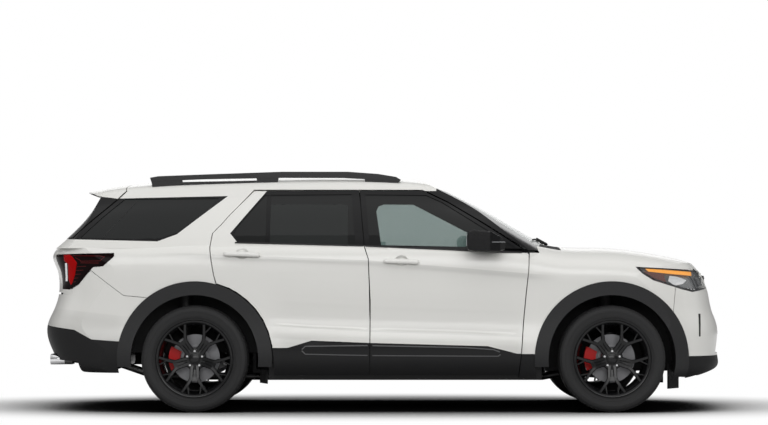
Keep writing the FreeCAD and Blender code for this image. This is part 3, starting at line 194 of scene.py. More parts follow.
def folds(nt, x, z, cups=False):
    """Height of the pressed lines at a place on the body side."""
    total = None
    for cx, cz in CUPS if cups else ():
        dx = math_node(nt, "MULTIPLY", math_node(nt, "SUBTRACT", x, cx), 1 / 0.050)
        dz = math_node(nt, "MULTIPLY", math_node(nt, "SUBTRACT", z, cz), 1 / 0.042)
        r = math_node(nt, "SQRT", math_node(nt, "ADD", math_node(nt, "MULTIPLY", dx, dx),
                                            math_node(nt, "MULTIPLY", dz, dz)))
        h = level(nt, r, [(0.0, -0.020), (0.5, -0.017), (0.90, -0.003), (1.0, 0.0)], True)
        total = h if total is None else math_node(nt, "ADD", total, h)
    for line, section, (a, b, c, d) in FOLDS:
        over = math_node(nt, "SUBTRACT", z, level(nt, x, line))
        h = level(nt, over, section, True)
        h = math_node(nt, "MULTIPLY", h, math_node(nt, "MULTIPLY", fade(nt, x, a, b), fade(nt, x, d, c)))
        total = h if total is None else math_node(nt, "ADD", total, h)
    return total


# painted shade: for each pressed line, how far the white paint is darkened at each height over the line
PAINTED_SHADE_SECTIONS = ([(-0.14, 0.0), (-0.05, 0.12), (-0.004, 0.50), (0.006, 0.0)],
         [(-0.11, 0.55), (-0.075, 0.28), (-0.03, 0.0), (0.0, 0.0), (0.012, 0.34), (0.10, 0.20), (0.22, 0.0)],
         [(-0.22, 0.80), (-0.10, 0.35), (-0.01, 0.18), (0.002, 0.0)])


def painted_shade_of(nt, x, z):
    """Share of painted shade: darkening laid into the paint colour beside each pressed line."""
    total = None
    for (line, _, (a, b, c, d)), section in zip(FOLDS, PAINTED_SHADE_SECTIONS):
        h = level(nt, math_node(nt, "SUBTRACT", z, level(nt, x, line)), section, True)
        h = math_node(nt, "MULTIPLY", h, math_node(nt, "MULTIPLY", fade(nt, x, a, b), fade(nt, x, d, c)))
        total = h if total is None else math_node(nt, "ADD", total, h)
    return total


def half_plane(nt, x, z, a, b):
    """1 to the left of the line from a to b, seen with x to the right and z up."""
    nx, nz = -(b[1] - a[1]), b[0] - a[0]
    d = -(nx * a[0] + nz * a[1])
    s = math_node(nt, "ADD", math_node(nt, "MULTIPLY", x, nx), math_node(nt, "MULTIPLY", z, nz))
    return math_node(nt, "GREATER_THAN", s, -d)


def two_tone(name, paint, dark, mask):
    """Paint with areas of black trim, split by where they lie on the body; white paint also gets painted
    shade beside the pressed lines.
    """
    m, nt, b = new_mat(name)
    coord = add(nt, "ShaderNodeTexCoord")
    sep = add(nt, "ShaderNodeSeparateXYZ")
    nt.links.new(coord.outputs["Object"], sep.inputs[0])
    x, z = sep.outputs["X"], sep.outputs["Z"]
    fac = mask(nt, x, z, sep.outputs["Y"])
    noise = add(nt, "ShaderNodeTexNoise")
    noise.inputs["Scale"].default_value = 900.0
    nt.links.new(coord.outputs["Object"], noise.inputs["Vector"])
    col = add(nt, "ShaderNodeMix", data_type="RGBA")
    col.inputs[6].default_value = (*paint["color"], 1.0)
    col.inputs[7].default_value = (*dark["color"], 1.0)
    nt.links.new(fac, col.inputs[0])
    nt.links.new(col.outputs[2], b.inputs["Base Color"])
    rough = add(nt, "ShaderNodeMix", data_type="FLOAT")
    rough.inputs[2].default_value = paint["rough"]
    rough.inputs[3].default_value = dark["rough"]
    nt.links.new(fac, rough.inputs[0])
    nt.links.new(rough.outputs[0], b.inputs["Roughness"])
    bump = add(nt, "ShaderNodeBump")
    bump.inputs["Distance"].default_value = 0.0006
    nt.links.new(math_node(nt, "MULTIPLY", fac, dark.get("bump", 0.35)), bump.inputs["Strength"])
    nt.links.new(noise.outputs["Fac"], bump.inputs["Height"])
    nt.links.new(bump.outputs["Normal"], b.inputs["Normal"])
    for slot, on_paint, on_dark in (("Coat Weight", 0.25, 0.0),
                                    ("Specular IOR Level", 0.5, dark.get("spec", 0.2))):
        kind = add(nt, "ShaderNodeMix", data_type="FLOAT")
        kind.inputs[2].default_value = on_paint
        kind.inputs[3].default_value = on_dark
        nt.links.new(fac, kind.inputs[0])
        nt.links.new(kind.outputs[0], b.inputs[slot])
    b.inputs["Coat Roughness"].default_value = 0.14
    if paint is WHITE:
        # painted shade: the white paint is mixed towards 0.66 of its colour beside the pressed lines
        painted_shade_mix = add(nt, "ShaderNodeMix", data_type="RGBA")
        painted_shade_mix.inputs[6].default_value = (*paint["color"], 1.0)
        painted_shade_mix.inputs[7].default_value = (*[c * 0.66 for c in paint["color"]], 1.0)
        nt.links.new(painted_shade_of(nt, x, z), painted_shade_mix.inputs[0])
        nt.links.new(painted_shade_mix.outputs[2], col.inputs[6])
        press = add(nt, "ShaderNodeBump")
        press.inputs["Strength"].default_value = 1.0
        press.inputs["Distance"].default_value = 1.0
        nt.links.new(folds(nt, x, z, mask is door_mask), press.inputs["Height"])
        nt.links.new(press.outputs["Normal"], bump.inputs["Normal"])
        nt.links.new(press.outputs["Normal"], b.inputs["Coat Normal"])
    return m


WHITE = {"color": (0.74, 0.735, 0.705), "rough": 0.34}
PLASTIC = {"color": (0.0095, 0.0095, 0.0100), "rough": 0.62, "bump": 0.4}
PIANO = {"color": (0.0080, 0.0080, 0.0085), "rough": 0.22, "bump": 0.0}

M = {
    "paint": surface("white_paint", WHITE["color"], 0.32, coat=0.35, scale=60, bump=0.0, spread=0.02,
                     tint=0.008),
    "plastic": surface("grained_plastic", (0.0140, 0.0140, 0.0147), 0.6, scale=900, bump=0.35, spread=0.05,
                       spec=0.3),
    "piano": surface("gloss_black", (0.0045, 0.0045, 0.0050), 0.2, coat=0.0, spec=0.22, scale=80, bump=0.0,
                     spread=0.03),
    "under": surface("underbody", (0.010, 0.010, 0.0105), 0.85, scale=140, bump=0.5, spread=0.08),
    "rubber": surface("tyre_rubber", (0.0105, 0.0105, 0.011), 0.66, scale=700, bump=0.25, spread=0.06,
                      spec=0.35),
    "wheel": surface("wheel_black", (0.0035, 0.0035, 0.004), 0.26, coat=0.0, spec=0.32, scale=120, bump=0.02,
                     spread=0.04),
    "disc": surface("brake_disc", (0.13, 0.13, 0.135), 0.42, metal=1.0, scale=220, bump=0.15, spread=0.08),
    "chrome": surface("bright_nut", (0.78, 0.78, 0.79), 0.14, metal=1.0, scale=90, bump=0.02, spread=0.04),
    "red": surface("caliper_paint", (0.50, 0.012, 0.012), 0.28, coat=0.4, scale=200, bump=0.05, spread=0.04),
    "cast": surface("cast_black", (0.014, 0.014, 0.0145), 0.65, scale=160, bump=0.5, spread=0.1),
    "metal": surface("cast_metal", (0.32, 0.32, 0.33), 0.5, metal=0.8, scale=120, bump=0.4, spread=0.1),
    "steel": surface("sooty_steel", (0.10, 0.10, 0.10), 0.45, metal=1.0, scale=90, bump=0.1, spread=0.08),
    "trim": surface("cabin_trim", (0.028, 0.028, 0.03), 0.6, scale=500, bump=0.3, spread=0.06),
    "leather": surface("seat_leather", (0.045, 0.043, 0.042), 0.5, scale=420, bump=0.5, spread=0.08,
                       kind="voronoi"),
    "carpet": surface("carpet", (0.03, 0.03, 0.032), 0.95, scale=1400, bump=0.8, spread=0.04),
    "amber": surface("amber_strip", (0.95, 0.36, 0.02), 0.25, coat=0.5, scale=300, bump=0.2, emit=0.55,
                     spread=0.03),
    "redlamp": surface("red_lamp", (0.36, 0.0010, 0.0015), 0.30, coat=0.0, spec=0.06, scale=260, bump=0.15,
                       emit=0.04, spread=0.03),
    "darkred": surface("dark_red_lens", (0.0045, 0.0008, 0.0009), 0.20, coat=0.0, spec=0.06, scale=260,
                       bump=0.1, spread=0.03),
    "whitelamp": surface("white_lamp", (0.78, 0.79, 0.80), 0.2, coat=0.5, scale=240, bump=0.1, emit=0.15,
                         spread=0.03),
    "lampgrey": surface("lamp_housing", (0.16, 0.165, 0.17), 0.25, metal=0.6, coat=0.6, scale=180, bump=0.05,
                        spread=0.05),
    # satin black, also used as painted highlight on the lower trim's groove lips
    "satin": surface("satin_black_edge", (0.060, 0.060, 0.062), 0.4, scale=300, bump=0.05),
    "seam": surface("shut_line_rubber", (0.012, 0.012, 0.012), 0.8, scale=500, bump=0.2),
    "mirrorface": surface("mirror_glass", (0.55, 0.56, 0.57), 0.06, metal=1.0, scale=60, bump=0.0,
                          spread=0.02),
    "facet": surface("rear_facing_reflector", (0.16, 0.035, 0.02), 0.22, coat=0.7, scale=260, bump=0.1,
                     spread=0.03),
    "darkred2": surface("dim_red_line", (0.11, 0.003, 0.004), 0.3, coat=0.0, spec=0.2, scale=260, bump=0.1,
                        spread=0.03),
    "screenface": surface("display_glass", (0.008, 0.009, 0.011), 0.1, coat=0.8, scale=50, bump=0.0,
                          spread=0.02),
}


def glass(name, color, alpha, rough=0.02):
    m, nt, b = new_mat(name)
    b.inputs["Base Color"].default_value = (*color, 1.0)
    b.inputs["Roughness"].default_value = rough
    b.inputs["Alpha"].default_value = alpha
    b.inputs["Specular IOR Level"].default_value = 0.22
    out = grain(nt, b, 40.0, 0.0, 0.01, color, rough)
    return m


def split_glass():
    """Clear at the windshield, privacy tint at the rear quarter windows."""
    m, nt, b = new_mat("windshield_and_quarter_glass")
    coord = add(nt, "ShaderNodeTexCoord")
    sep = add(nt, "ShaderNodeSeparateXYZ")
    nt.links.new(coord.outputs["Object"], sep.inputs[0])
    front = math_node(nt, "GREATER_THAN", sep.outputs["X"], 0.0)
    col = add(nt, "ShaderNodeMix", data_type="RGBA")
    col.inputs[6].default_value = (0.010, 0.011, 0.011, 1)
    col.inputs[7].default_value = (0.42, 0.47, 0.45, 1)
    nt.links.new(front, col.inputs[0])
    nt.links.new(col.outputs[2], b.inputs["Base Color"])
    alpha = add(nt, "ShaderNodeMix", data_type="FLOAT")
    alpha.inputs[2].default_value = 0.985
    alpha.inputs[3].default_value = 0.42
    b.inputs["Specular IOR Level"].default_value = 0.22
    nt.links.new(front, alpha.inputs[0])
    nt.links.new(alpha.outputs[0], b.inputs["Alpha"])
    grain(nt, b, 40.0, 0.0, 0.01, None, 0.02)
    return m


def bordered(name, color, alpha, corners, border=(0.010, 0.0105, 0.0105)):
    """Side glass with a black printed border round its see-through area."""
    m, nt, b = new_mat(name)
    coord = add(nt, "ShaderNodeTexCoord")
    sep = add(nt, "ShaderNodeSeparateXYZ")
    nt.links.new(coord.outputs["Object"], sep.inputs[0])
    zone = polygon(nt, sep.outputs["X"], sep.outputs["Z"], corners)
    col = add(nt, "ShaderNodeMix", data_type="RGBA")
    col.inputs[6].default_value = (*border, 1)
    col.inputs[7].default_value = (*color, 1)
    nt.links.new(zone, col.inputs[0])
    nt.links.new(col.outputs[2], b.inputs["Base Color"])
    see = add(nt, "ShaderNodeMix", data_type="FLOAT")
    see.inputs[2].default_value = 1.0
    see.inputs[3].default_value = alpha
    nt.links.new(zone, see.inputs[0])
    nt.links.new(see.outputs[0], b.inputs["Alpha"])
    b.inputs["Specular IOR Level"].default_value = 0.22
    grain(nt, b, 40.0, 0.0, 0.01, None, 0.03)
    return m


M["clear_glass"] = bordered("front_side_glass", (0.18, 0.265, 0.245), 0.44,
                            [(-0.011, 1.206), (0.600, 1.184), (0.648, 1.205), (0.640, 1.292), (0.225, 1.512),
                             (0.010, 1.514), (-0.030, 1.500), (-0.047, 1.462)])
M["clear_glass_left"] = bordered("front_side_glass_left", (0.10, 0.14, 0.125), 0.44,
                                 [(-0.090, 1.190), (0.800, 1.180), (0.840, 1.215), (0.660, 1.370),
                                  (0.300, 1.575),
                                  (-0.090, 1.580), (-0.110, 1.560), (-0.110, 1.300)])
M["rear_glass"] = bordered("rear_side_glass", (0.020, 0.022, 0.0215), 0.93,
                           [(-0.845, 1.226), (-0.255, 1.214), (-0.255, 1.500), (-0.270, 1.514),
                            (-0.830, 1.514),
                            (-0.845, 1.500)])
M["fixed"] = split_glass()
M["lens"] = glass("lamp_lens", (0.25, 0.26, 0.27), 0.22)

DOOR_TRIM = [(-1.30, 0.470), (-0.690, 0.468), (-0.515, 0.521), (-0.090, 0.504), (0.760, 0.481),
             (0.975, 0.426), (1.20, 0.424)]
BELT = [(-1.30, 1.235), (-1.039, 1.2285), (-0.042, 1.2045), (0.853, 1.159), (1.20, 1.154)]


def door_mask(nt, x, z, y):
    low = below_curve(nt, x, z, DOOR_TRIM)
    belt = below_curve(nt, x, z, BELT)
    above = math_node(nt, "SUBTRACT", 1.0, belt)
    slant = half_plane(nt, x, z, (-0.857, 1.612), (-1.112, 1.300))
    corner = half_plane(nt, x, z, (-1.112, 1.300), (-1.050, 1.222))
    frame_zone = math_node(nt, "MULTIPLY", above, math_node(nt, "MULTIPLY", slant, corner))
    inner = math_node(nt, "LESS_THAN", math_node(nt, "ABSOLUTE", y), 0.895)
    zone = math_node(nt, "LESS_THAN", z, 1.20)
    inside = math_node(nt, "MULTIPLY", inner, zone)
    return math_node(nt, "MAXIMUM", math_node(nt, "MAXIMUM", low, frame_zone), inside)


def side_mask(nt, x, z, y):
    screen_post = math_node(nt, "MULTIPLY", math_node(nt, "GREATER_THAN", x, 0.395),
                            math_node(nt, "GREATER_THAN", z, 1.15))
    under_roof = math_node(nt, "MULTIPLY", math_node(nt, "GREATER_THAN", x, 0.10),
                           math_node(nt, "MULTIPLY", math_node(nt, "GREATER_THAN", z, 1.25),
                                     math_node(nt, "LESS_THAN", z, 1.6165)))
    front = math_node(nt, "MAXIMUM", screen_post, under_roof)
    sill = math_node(nt, "LESS_THAN", z, 0.40)
    corners = [(-2.30, 1.256), (-1.640, 1.240), (-1.500, 1.292), (-1.140, 1.578), (-2.30, 1.552)]
    zone = polygon(nt, x, z, corners)
    inner = math_node(nt, "LESS_THAN", math_node(nt, "ABSOLUTE", y), 0.848)
    belt = math_node(nt, "MULTIPLY", math_node(nt, "LESS_THAN", z, 1.235),
                     math_node(nt, "GREATER_THAN", x, -2.05))
    inside = math_node(nt, "MULTIPLY", inner, belt)
    door_posts = polygon(nt, x, z, [(-1.232, 1.205), (1.10, 1.205), (1.10, 1.45), (0.45, 1.608),
                                    (-0.950, 1.608),
                                    (-1.172, 1.364), (-1.232, 1.305)])
    m = math_node(nt, "MAXIMUM", math_node(nt, "MAXIMUM", front, sill),
                  math_node(nt, "MAXIMUM", zone, door_posts))
    return math_node(nt, "MAXIMUM", m, inside)


def gate_trim_and_shade_mask(nt, x, z, y):
    # black where the tailgate lies above 1.256 m and under this lip line: partly real trim round the rear
    # window, partly painted shade on the spoiler's underside
    lip = [(-2.180, 1.614), (-2.150, 1.602), (-2.105, 1.580), (-2.060, 1.572), (-1.990, 1.564),
           (-1.930, 1.554)]
    return math_node(nt, "MULTIPLY", math_node(nt, "GREATER_THAN", z, 1.256), below_curve(nt, x, z, lip))


def rear_window_mask(nt, x, z, y):
    return math_node(nt, "GREATER_THAN", z, 1.256)


def rear_bumper_mask(nt, x, z, y):
    return below_curve(nt, x, z, [(-2.60, 0.640), (-2.46, 0.626), (-2.239, 0.598), (-2.11, 0.529),
                                  (-1.93, 0.516), (-1.70, 0.510)])


def nose_mask(nt, x, z, y):
    return math_node(nt, "LESS_THAN", z, 0.407)


def fender_mask(nt, x, z, y):
    return math_node(nt, "LESS_THAN", z, 0.424)


def knuckle_mask(axle_x):
    def mask(nt, x, z, y):
        dx = math_node(nt, "SUBTRACT", x, axle_x)
        dz = math_node(nt, "SUBTRACT", z, HUB_Z)
        r2 = math_node(nt, "ADD", math_node(nt, "MULTIPLY", dx, dx), math_node(nt, "MULTIPLY", dz, dz))
        far = math_node(nt, "GREATER_THAN", r2, 0.109 ** 2)
        out = math_node(nt, "GREATER_THAN", math_node(nt, "ABSOLUTE", y), 0.787)
        return math_node(nt, "MULTIPLY", far, out)
    return mask


CAST = {"color": (0.014, 0.014, 0.0145), "rough": 0.65}
TINT = {"color": (0.010, 0.011, 0.011), "rough": 0.03, "bump": 0.0, "spec": 0.22}
REDC = {"color": (0.42, 0.008, 0.008), "rough": 0.34, "bump": 0.1}
M["door"] = two_tone("door_paint_and_trim", WHITE, PIANO, door_mask)
M["side"] = two_tone("side_paint_and_trim", WHITE, PIANO, side_mask)
M["gate"] = two_tone("tailgate_paint_trim_and_shade", WHITE, PIANO, gate_trim_and_shade_mask)
M["rear_window"] = two_tone("rear_window_tint", WHITE, TINT, rear_window_mask)
M["rear_bumper"] = two_tone("rear_bumper_paint", WHITE, PLASTIC, rear_bumper_mask)
M["nose"] = two_tone("front_bumper_paint", WHITE, PLASTIC, nose_mask)
M["fender"] = two_tone("fender_paint", WHITE, PLASTIC, fender_mask)
M["knuckle"] = two_tone("knuckle_and_caliper", CAST, REDC, knuckle_mask(AXLE_F))
M["rear_axle"] = two_tone("rear_axle_and_caliper", CAST, REDC, knuckle_mask(AXLE_R))

NODE_MATERIAL = {
    "floor_pan": "under", "roof": "paint", "hood": "paint", "grille": "piano", "roof_rails": "piano",
    "cladding": "plastic", "engine": "metal", "exhaust": "steel", "driveline": "cast",
    "dashboard": "trim", "steering_wheel": "trim", "seats": "leather", "tailgate": "gate",
    "tailgate_glass": "rear_window", "fixed_glass": "fixed", "headlamps": "lens",
    "tail_lamps": "darkred", "front_bumper": "nose", "rear_bumper": "rear_bumper",
    "front_suspension": "cast", "rear_suspension": "rear_axle",
}
for hand, _ in SIDES:
    NODE_MATERIAL.update({"side_" + hand: "side", "fender_" + hand: "fender",
                          "door_front_" + hand: "door", "door_rear_" + hand: "door",
                          "glass_front_" + hand: "clear_glass", "glass_rear_" + hand: "rear_glass",
                          "mirror_" + hand: "piano", "knuckle_" + hand: "knuckle",
                          "rim_front_" + hand: "wheel", "rim_rear_" + hand: "wheel",
                          "tyre_front_" + hand: "rubber", "tyre_rear_" + hand: "rubber"})
NODE_MATERIAL["glass_front_left"] = "clear_glass_left"
for name, slot in NODE_MATERIAL.items():
    o = NODES[name]
    o.data.materials.clear()
    o.data.materials.append(M[slot])


# mesh helpers
def obj_from(name, verts, faces, mat, smooth=True, bevel=0.0, sub=0, auto=40.0):
    me = bpy.data.meshes.new(name)
    me.from_pydata([tuple(v) for v in verts], [], faces)
    bm = bmesh.new()
    bm.from_mesh(me)
    bmesh.ops.remove_doubles(bm, verts=bm.verts, dist=1e-6)
    bmesh.ops.recalc_face_normals(bm, faces=bm.faces)
    bm.to_mesh(me)
    bm.free()
    ob = bpy.data.objects.new(name, me)
    bpy.context.scene.collection.objects.link(ob)
    me.materials.append(M[mat])
    if smooth:
        for p in me.polygons:
            p.use_smooth = True
        bm = bmesh.new()
        bm.from_mesh(me)
        for e in bm.edges:
            if len(e.link_faces) == 2 and e.calc_face_angle(0) > math.radians(auto):
                e.smooth = False
        bm.to_mesh(me)
        bm.free()
    if bevel:
        mod = ob.modifiers.new("bevel", "BEVEL")
        mod.width = bevel
        mod.segments = 2
        mod.limit_method = "ANGLE"
        mod.angle_limit = math.radians(35)
    if sub:
        mod = ob.modifiers.new("sub", "SUBSURF")
        mod.levels = sub
        mod.render_levels = sub
    return ob


def lathe(name, profile, mat, x, y, z, steps=96, closed=True, side=-1):
    """Ring about a Y axis; profile of (radius, outward offset)."""
    verts, faces = [], []
    n = len(profile)
    for i in range(steps):
        a = 2 * math.pi * i / steps
        for r, off in profile:
            verts.append((x + r * math.sin(a), y + side * off, z + r * math.cos(a)))
    m = n if closed else n - 1
    for i in range(steps):
        j = (i + 1) % steps
        for k in range(m):
            l = (k + 1) % n
            faces.append((i * n + k, j * n + k, j * n + l, i * n + l))
    return obj_from(name, verts, faces, mat)


def grid_obj(name, rows, mat, closed_u=False, closed_v=False, caps=False, **kw):
    verts = [v for row in rows for v in row]
    n = len(rows[0])
    faces = []
    for i in range(len(rows) - (0 if closed_v else 1)):
        j = (i + 1) % len(rows)
        for k in range(n - (0 if closed_u else 1)):
            l = (k + 1) % n
            faces.append((i * n + k, i * n + l, j * n + l, j * n + k))
    if caps:
        faces.append(tuple(range(n)))
        faces.append(tuple((len(rows) - 1) * n + k for k in range(n)))
    return obj_from(name, verts, faces, mat, **kw)


def tube(name, path, r, mat, n=10, **kw):
    path = [Vector(p) for p in path]
    rows = []
    for i, p in enumerate(path):
        t = (path[min(i + 1, len(path) - 1)] - path[max(i - 1, 0)]).normalized()
        up = Vector((0, 0, 1)) if abs(t.z) < 0.9 else Vector((1, 0, 0))
        u = t.cross(up).normalized()
        v = t.cross(u)
        rr = r[i] if isinstance(r, (list, tuple)) else r
        rows.append([p + u * rr * math.cos(2 * math.pi * k / n) + v * rr * math.sin(2 * math.pi * k / n)
                     for k in range(n)])
    return grid_obj(name, rows, mat, closed_u=True, caps=True, **kw)


def block(name, lo, hi, mat, bevel=0.003, body="body", rot=None, pivot=None):
    x0, y0, z0 = lo
    x1, y1, z1 = hi
    v = [(x0, y0, z0), (x1, y0, z0), (x1, y1, z0), (x0, y1, z0),
         (x0, y0, z1), (x1, y0, z1), (x1, y1, z1), (x0, y1, z1)]
    if rot:
        m = Matrix.Translation(pivot) @ rot @ Matrix.Translation(-Vector(pivot))
        v = [m @ Vector(p) for p in v]
    f = [(0, 3, 2, 1), (4, 5, 6, 7), (0, 1, 5, 4), (1, 2, 6, 5), (2, 3, 7, 6), (3, 0, 4, 7)]
    ob = obj_from(name, v, f, mat, bevel=bevel)
    if body:
        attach(ob, body)
    return ob


def bvh_of(name):
    o = NODES[name]
    bm = bmesh.new()
    bm.from_mesh(o.data)
    bm.transform(o.matrix_world)
    t = BVHTree.FromBMesh(bm)
    bm.free()
    return t


TREES = {}


def skin(node, x, z, side, lift=0.0):
    """Point on a node's outer face at (x, z), seen from the side."""
    if node not in TREES:
        TREES[node] = bvh_of(node)
    hit, normal, _, _ = TREES[node].ray_cast(Vector((x, side * 2.0, z)), Vector((0, -side, 0)))
    if hit is None:
        return None
    if normal.y * side < 0:
        normal = -normal
    return hit + normal * lift


def skin_strip(name, node, points, width, lift, mat, side, body, steps=6, thick=0.002):
    """A narrow raised strip laid on a node's outer face along (x, z) points."""
    path = []
    for a, b in zip(points, points[1:]):
        for i in range(steps):
            t = i / steps
            path.append((a[0] + (b[0] - a[0]) * t, a[1] + (b[1] - a[1]) * t))
    path.append(points[-1])
    rows = []
    for i, (x, z) in enumerate(path):
        x2, z2 = path[min(i + 1, len(path) - 1)]
        x1, z1 = path[max(i - 1, 0)]
        n = math.hypot(x2 - x1, z2 - z1) or 1.0
        nx, nz = -(z2 - z1) / n * width / 2, (x2 - x1) / n * width / 2
        a = skin(node, x + nx, z + nz, side)
        b = skin(node, x - nx, z - nz, side)
        if a is None or b is None:
            continue
        up = Vector((0, side, 0))
        rows.append([a + up * (lift - thick), a + up * lift, b + up * lift, b + up * (lift - thick)])
    if len(rows) < 2:
        return None
    ob = grid_obj(name, rows, mat, closed_u=True, caps=True, smooth=False)
    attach(ob, body)
    return ob


# wheels
def spoke_bar(angle, path, base_w, top_w, depth):
    """Bar with sloping flanks along (radius, side angle, face offset, width scale)."""
    rows = []
    pts = []
    for r, a, off, k in path:
        t = math.radians(angle + a)
        pts.append((r * math.sin(t), r * math.cos(t), off, k))
    for i, (x, z, off, k) in enumerate(pts):
        x2, z2 = pts[min(i + 1, len(pts) - 1)][:2]
        x1, z1 = pts[max(i - 1, 0)][:2]
        n = math.hypot(x2 - x1, z2 - z1)
        nx, nz = -(z2 - z1) / n, (x2 - x1) / n
        section = [(-base_w * k, off - depth), (-base_w * k, off - 0.006), (-top_w * k, off),
                   (top_w * k, off), (base_w * k, off - 0.006), (base_w * k, off - depth)]
        rows.append([(x + nx * w, o, z + nz * w) for w, o in section])
    return rows


def wheel_visual(tag, hand, s, ax):
    y = s * HALF_TRACK
    body = "wheel_%s_%s" % (tag, hand)
    rim = "rim_%s_%s" % (tag, hand)
    pieces = []

    def place(rows_list, name, mat):
        verts, faces = [], []
        for rows in rows_list:
            base = len(verts)
            n = len(rows[0])
            for row in rows:
                verts += [(ax + p[0], y + s * p[1], HUB_Z + p[2]) for p in row]
            for i in range(len(rows) - 1):
                for k in range(n):
                    l = (k + 1) % n
                    faces.append((base + i * n + k, base + i * n + l, base + (i + 1) * n + l,
                                  base + (i + 1) * n + k))
            faces.append(tuple(base + k for k in range(n)))
            faces.append(tuple(base + (len(rows) - 1) * n + k for k in range(n)))
        ob = obj_from(name, verts, faces, mat, auto=25)
        pieces.append(ob)
        return ob

    bars = []
    for i in range(5):
        a = 36 + 72 * i
        for q in (-1, 1):
            bars.append(spoke_bar(a, [(0.052, q * 22, 0.086, 1.25), (0.085, q * 14.5, 0.093, 1.1),
                                      (0.120, q * 10.8, 0.103, 1.0), (0.152, q * 9.6, 0.110, 1.0)],
                                  0.0130, 0.0085, 0.030))
            bars.append(spoke_bar(a, [(0.140, q * 8.6, 0.108, 1.0), (0.175, q * 13.0, 0.114, 0.95),
                                      (0.215, q * 17.2, 0.119, 0.85), (0.258, q * 20.6, 0.1215, 0.8)],
                                  0.0145, 0.0095, 0.026))
            bars.append(spoke_bar(a, [(0.198, q * 14.6, 0.114, 1.0), (0.228, q * 11.2, 0.117, 0.9),
                                      (0.258, q * 9.0, 0.1195, 0.8)], 0.0075, 0.0045, 0.018))
        bars.append(spoke_bar(a, [(0.060, 0, 0.076, 1.0), (0.100, 0, 0.085, 1.15),
                                  (0.146, 0, 0.100, 1.25)], 0.0190, 0.0150, 0.014))
        bars.append(spoke_bar(a, [(0.128, 0, 0.103, 0.7), (0.158, 0, 0.110, 1.15)],
                              0.0240, 0.0170, 0.022))
    place(bars, "spokes_%s_%s" % (tag, hand), "wheel")

    h = 0.1375
    lip = [(0.262, h - 0.022), (0.279, h - 0.0215), (0.279, h - 0.013), (0.2755, h - 0.0105),
           (0.270, h - 0.0115), (0.262, h - 0.0170), (0.255, h - 0.026), (0.252, h - 0.040),
           (0.236, h - 0.080), (0.236, -h + 0.060), (0.255, -h + 0.030), (0.270, -h + 0.012),
           (0.279, -h + 0.013), (0.279, -h + 0.0215), (0.266, -h + 0.0215), (0.266, -h + 0.050),
           (0.246, -h + 0.064), (0.246, h - 0.090), (0.266, h - 0.046)]
    pieces.append(lathe("barrel_%s_%s" % (tag, hand), lip, "wheel", ax, y, HUB_Z, 128, side=s))
    hub = [(0.0, 0.092), (0.022, 0.091), (0.029, 0.088), (0.031, 0.082), (0.036, 0.081),
           (0.040, 0.086), (0.078, 0.082), (0.082, 0.074), (0.082, 0.050), (0.0, 0.050)]
    pieces.append(lathe("hub_%s_%s" % (tag, hand), hub, "wheel", ax, y, HUB_Z, 64, side=s, closed=False))
    disc = [(0.070, 0.022), (0.098, 0.020), (0.098, -0.0075), (0.176, -0.0075), (0.176, -0.0175),
            (0.110, -0.0175), (0.110, -0.0285), (0.176, -0.0285), (0.176, -0.0385), (0.098, -0.0385),
            (0.062, -0.010), (0.062, 0.020)]
    pieces.append(lathe("disc_%s_%s" % (tag, hand), disc, "disc", ax, y, HUB_Z, 96, side=s))
    vanes = []
    for i in range(36):
        vanes.append(spoke_bar(i * 10, [(0.112, 0, -0.016, 1), (0.173, 0, -0.016, 1)],
                               0.0025, 0.0025, 0.013))
    place(vanes, "vanes_%s_%s" % (tag, hand), "disc")
    nuts = []
    for i in range(5):
        t = math.radians(72 * i)
        nx, nz = 0.05715 * math.sin(t), 0.05715 * math.cos(t)
        rows = []
        for r, off in ((0.0105, 0.070), (0.0105, 0.093), (0.0085, 0.097), (0.0040, 0.099)):
            rows.append([(nx + r * math.cos(math.pi * k / 3), off, nz + r * math.sin(math.pi * k / 3))
                         for k in range(6)])
        nuts.append(rows)
    place(nuts, "nuts_%s_%s" % (tag, hand), "chrome")
    for ob in pieces:
        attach(ob, body)
    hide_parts(rim)

    # tyre: carcass and sidewall, then tread blocks standing in the grooves
    half = [(0.2663, h - 0.0221), (0.279, h - 0.0221), (0.2815, h - 0.0165), (0.286, h - 0.0135),
            (0.290, h - 0.0140), (0.296, h - 0.0090), (0.304, h - 0.0060), (0.3045, h - 0.0035),
            (0.3075, h - 0.0032), (0.308, h - 0.0048), (0.325, h - 0.0012), (0.340, h - 0.0002),
            (0.3405, h + 0.0), (0.343, h + 0.0), (0.3435, h - 0.0012), (0.354, h - 0.0010),
            (0.363, h - 0.0040), (0.366, h - 0.0048), (0.3662, h - 0.0075), (0.372, h - 0.0100),
            (0.3765, h - 0.0170), (0.3795, h - 0.0260), (0.3805, h - 0.0400)]
    ribs = [(0.3805, 0.086), (0.3805, 0.060), (0.3805, 0.020), (0.3805, 0.0)]
    profile = half + ribs
    profile += [(r, -o) for r, o in reversed(profile[:-1])]
    profile += [(0.267, -0.0925), (0.350, -h + 0.020), (0.364, 0.0), (0.350, h - 0.020), (0.267, 0.0925)]
    tyre = lathe("tyre_body_%s_%s" % (tag, hand), profile, "rubber", ax, y, HUB_Z, 112, side=s)
    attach(tyre, body)
    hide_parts("tyre_%s_%s" % (tag, hand))
    verts, faces = [], []

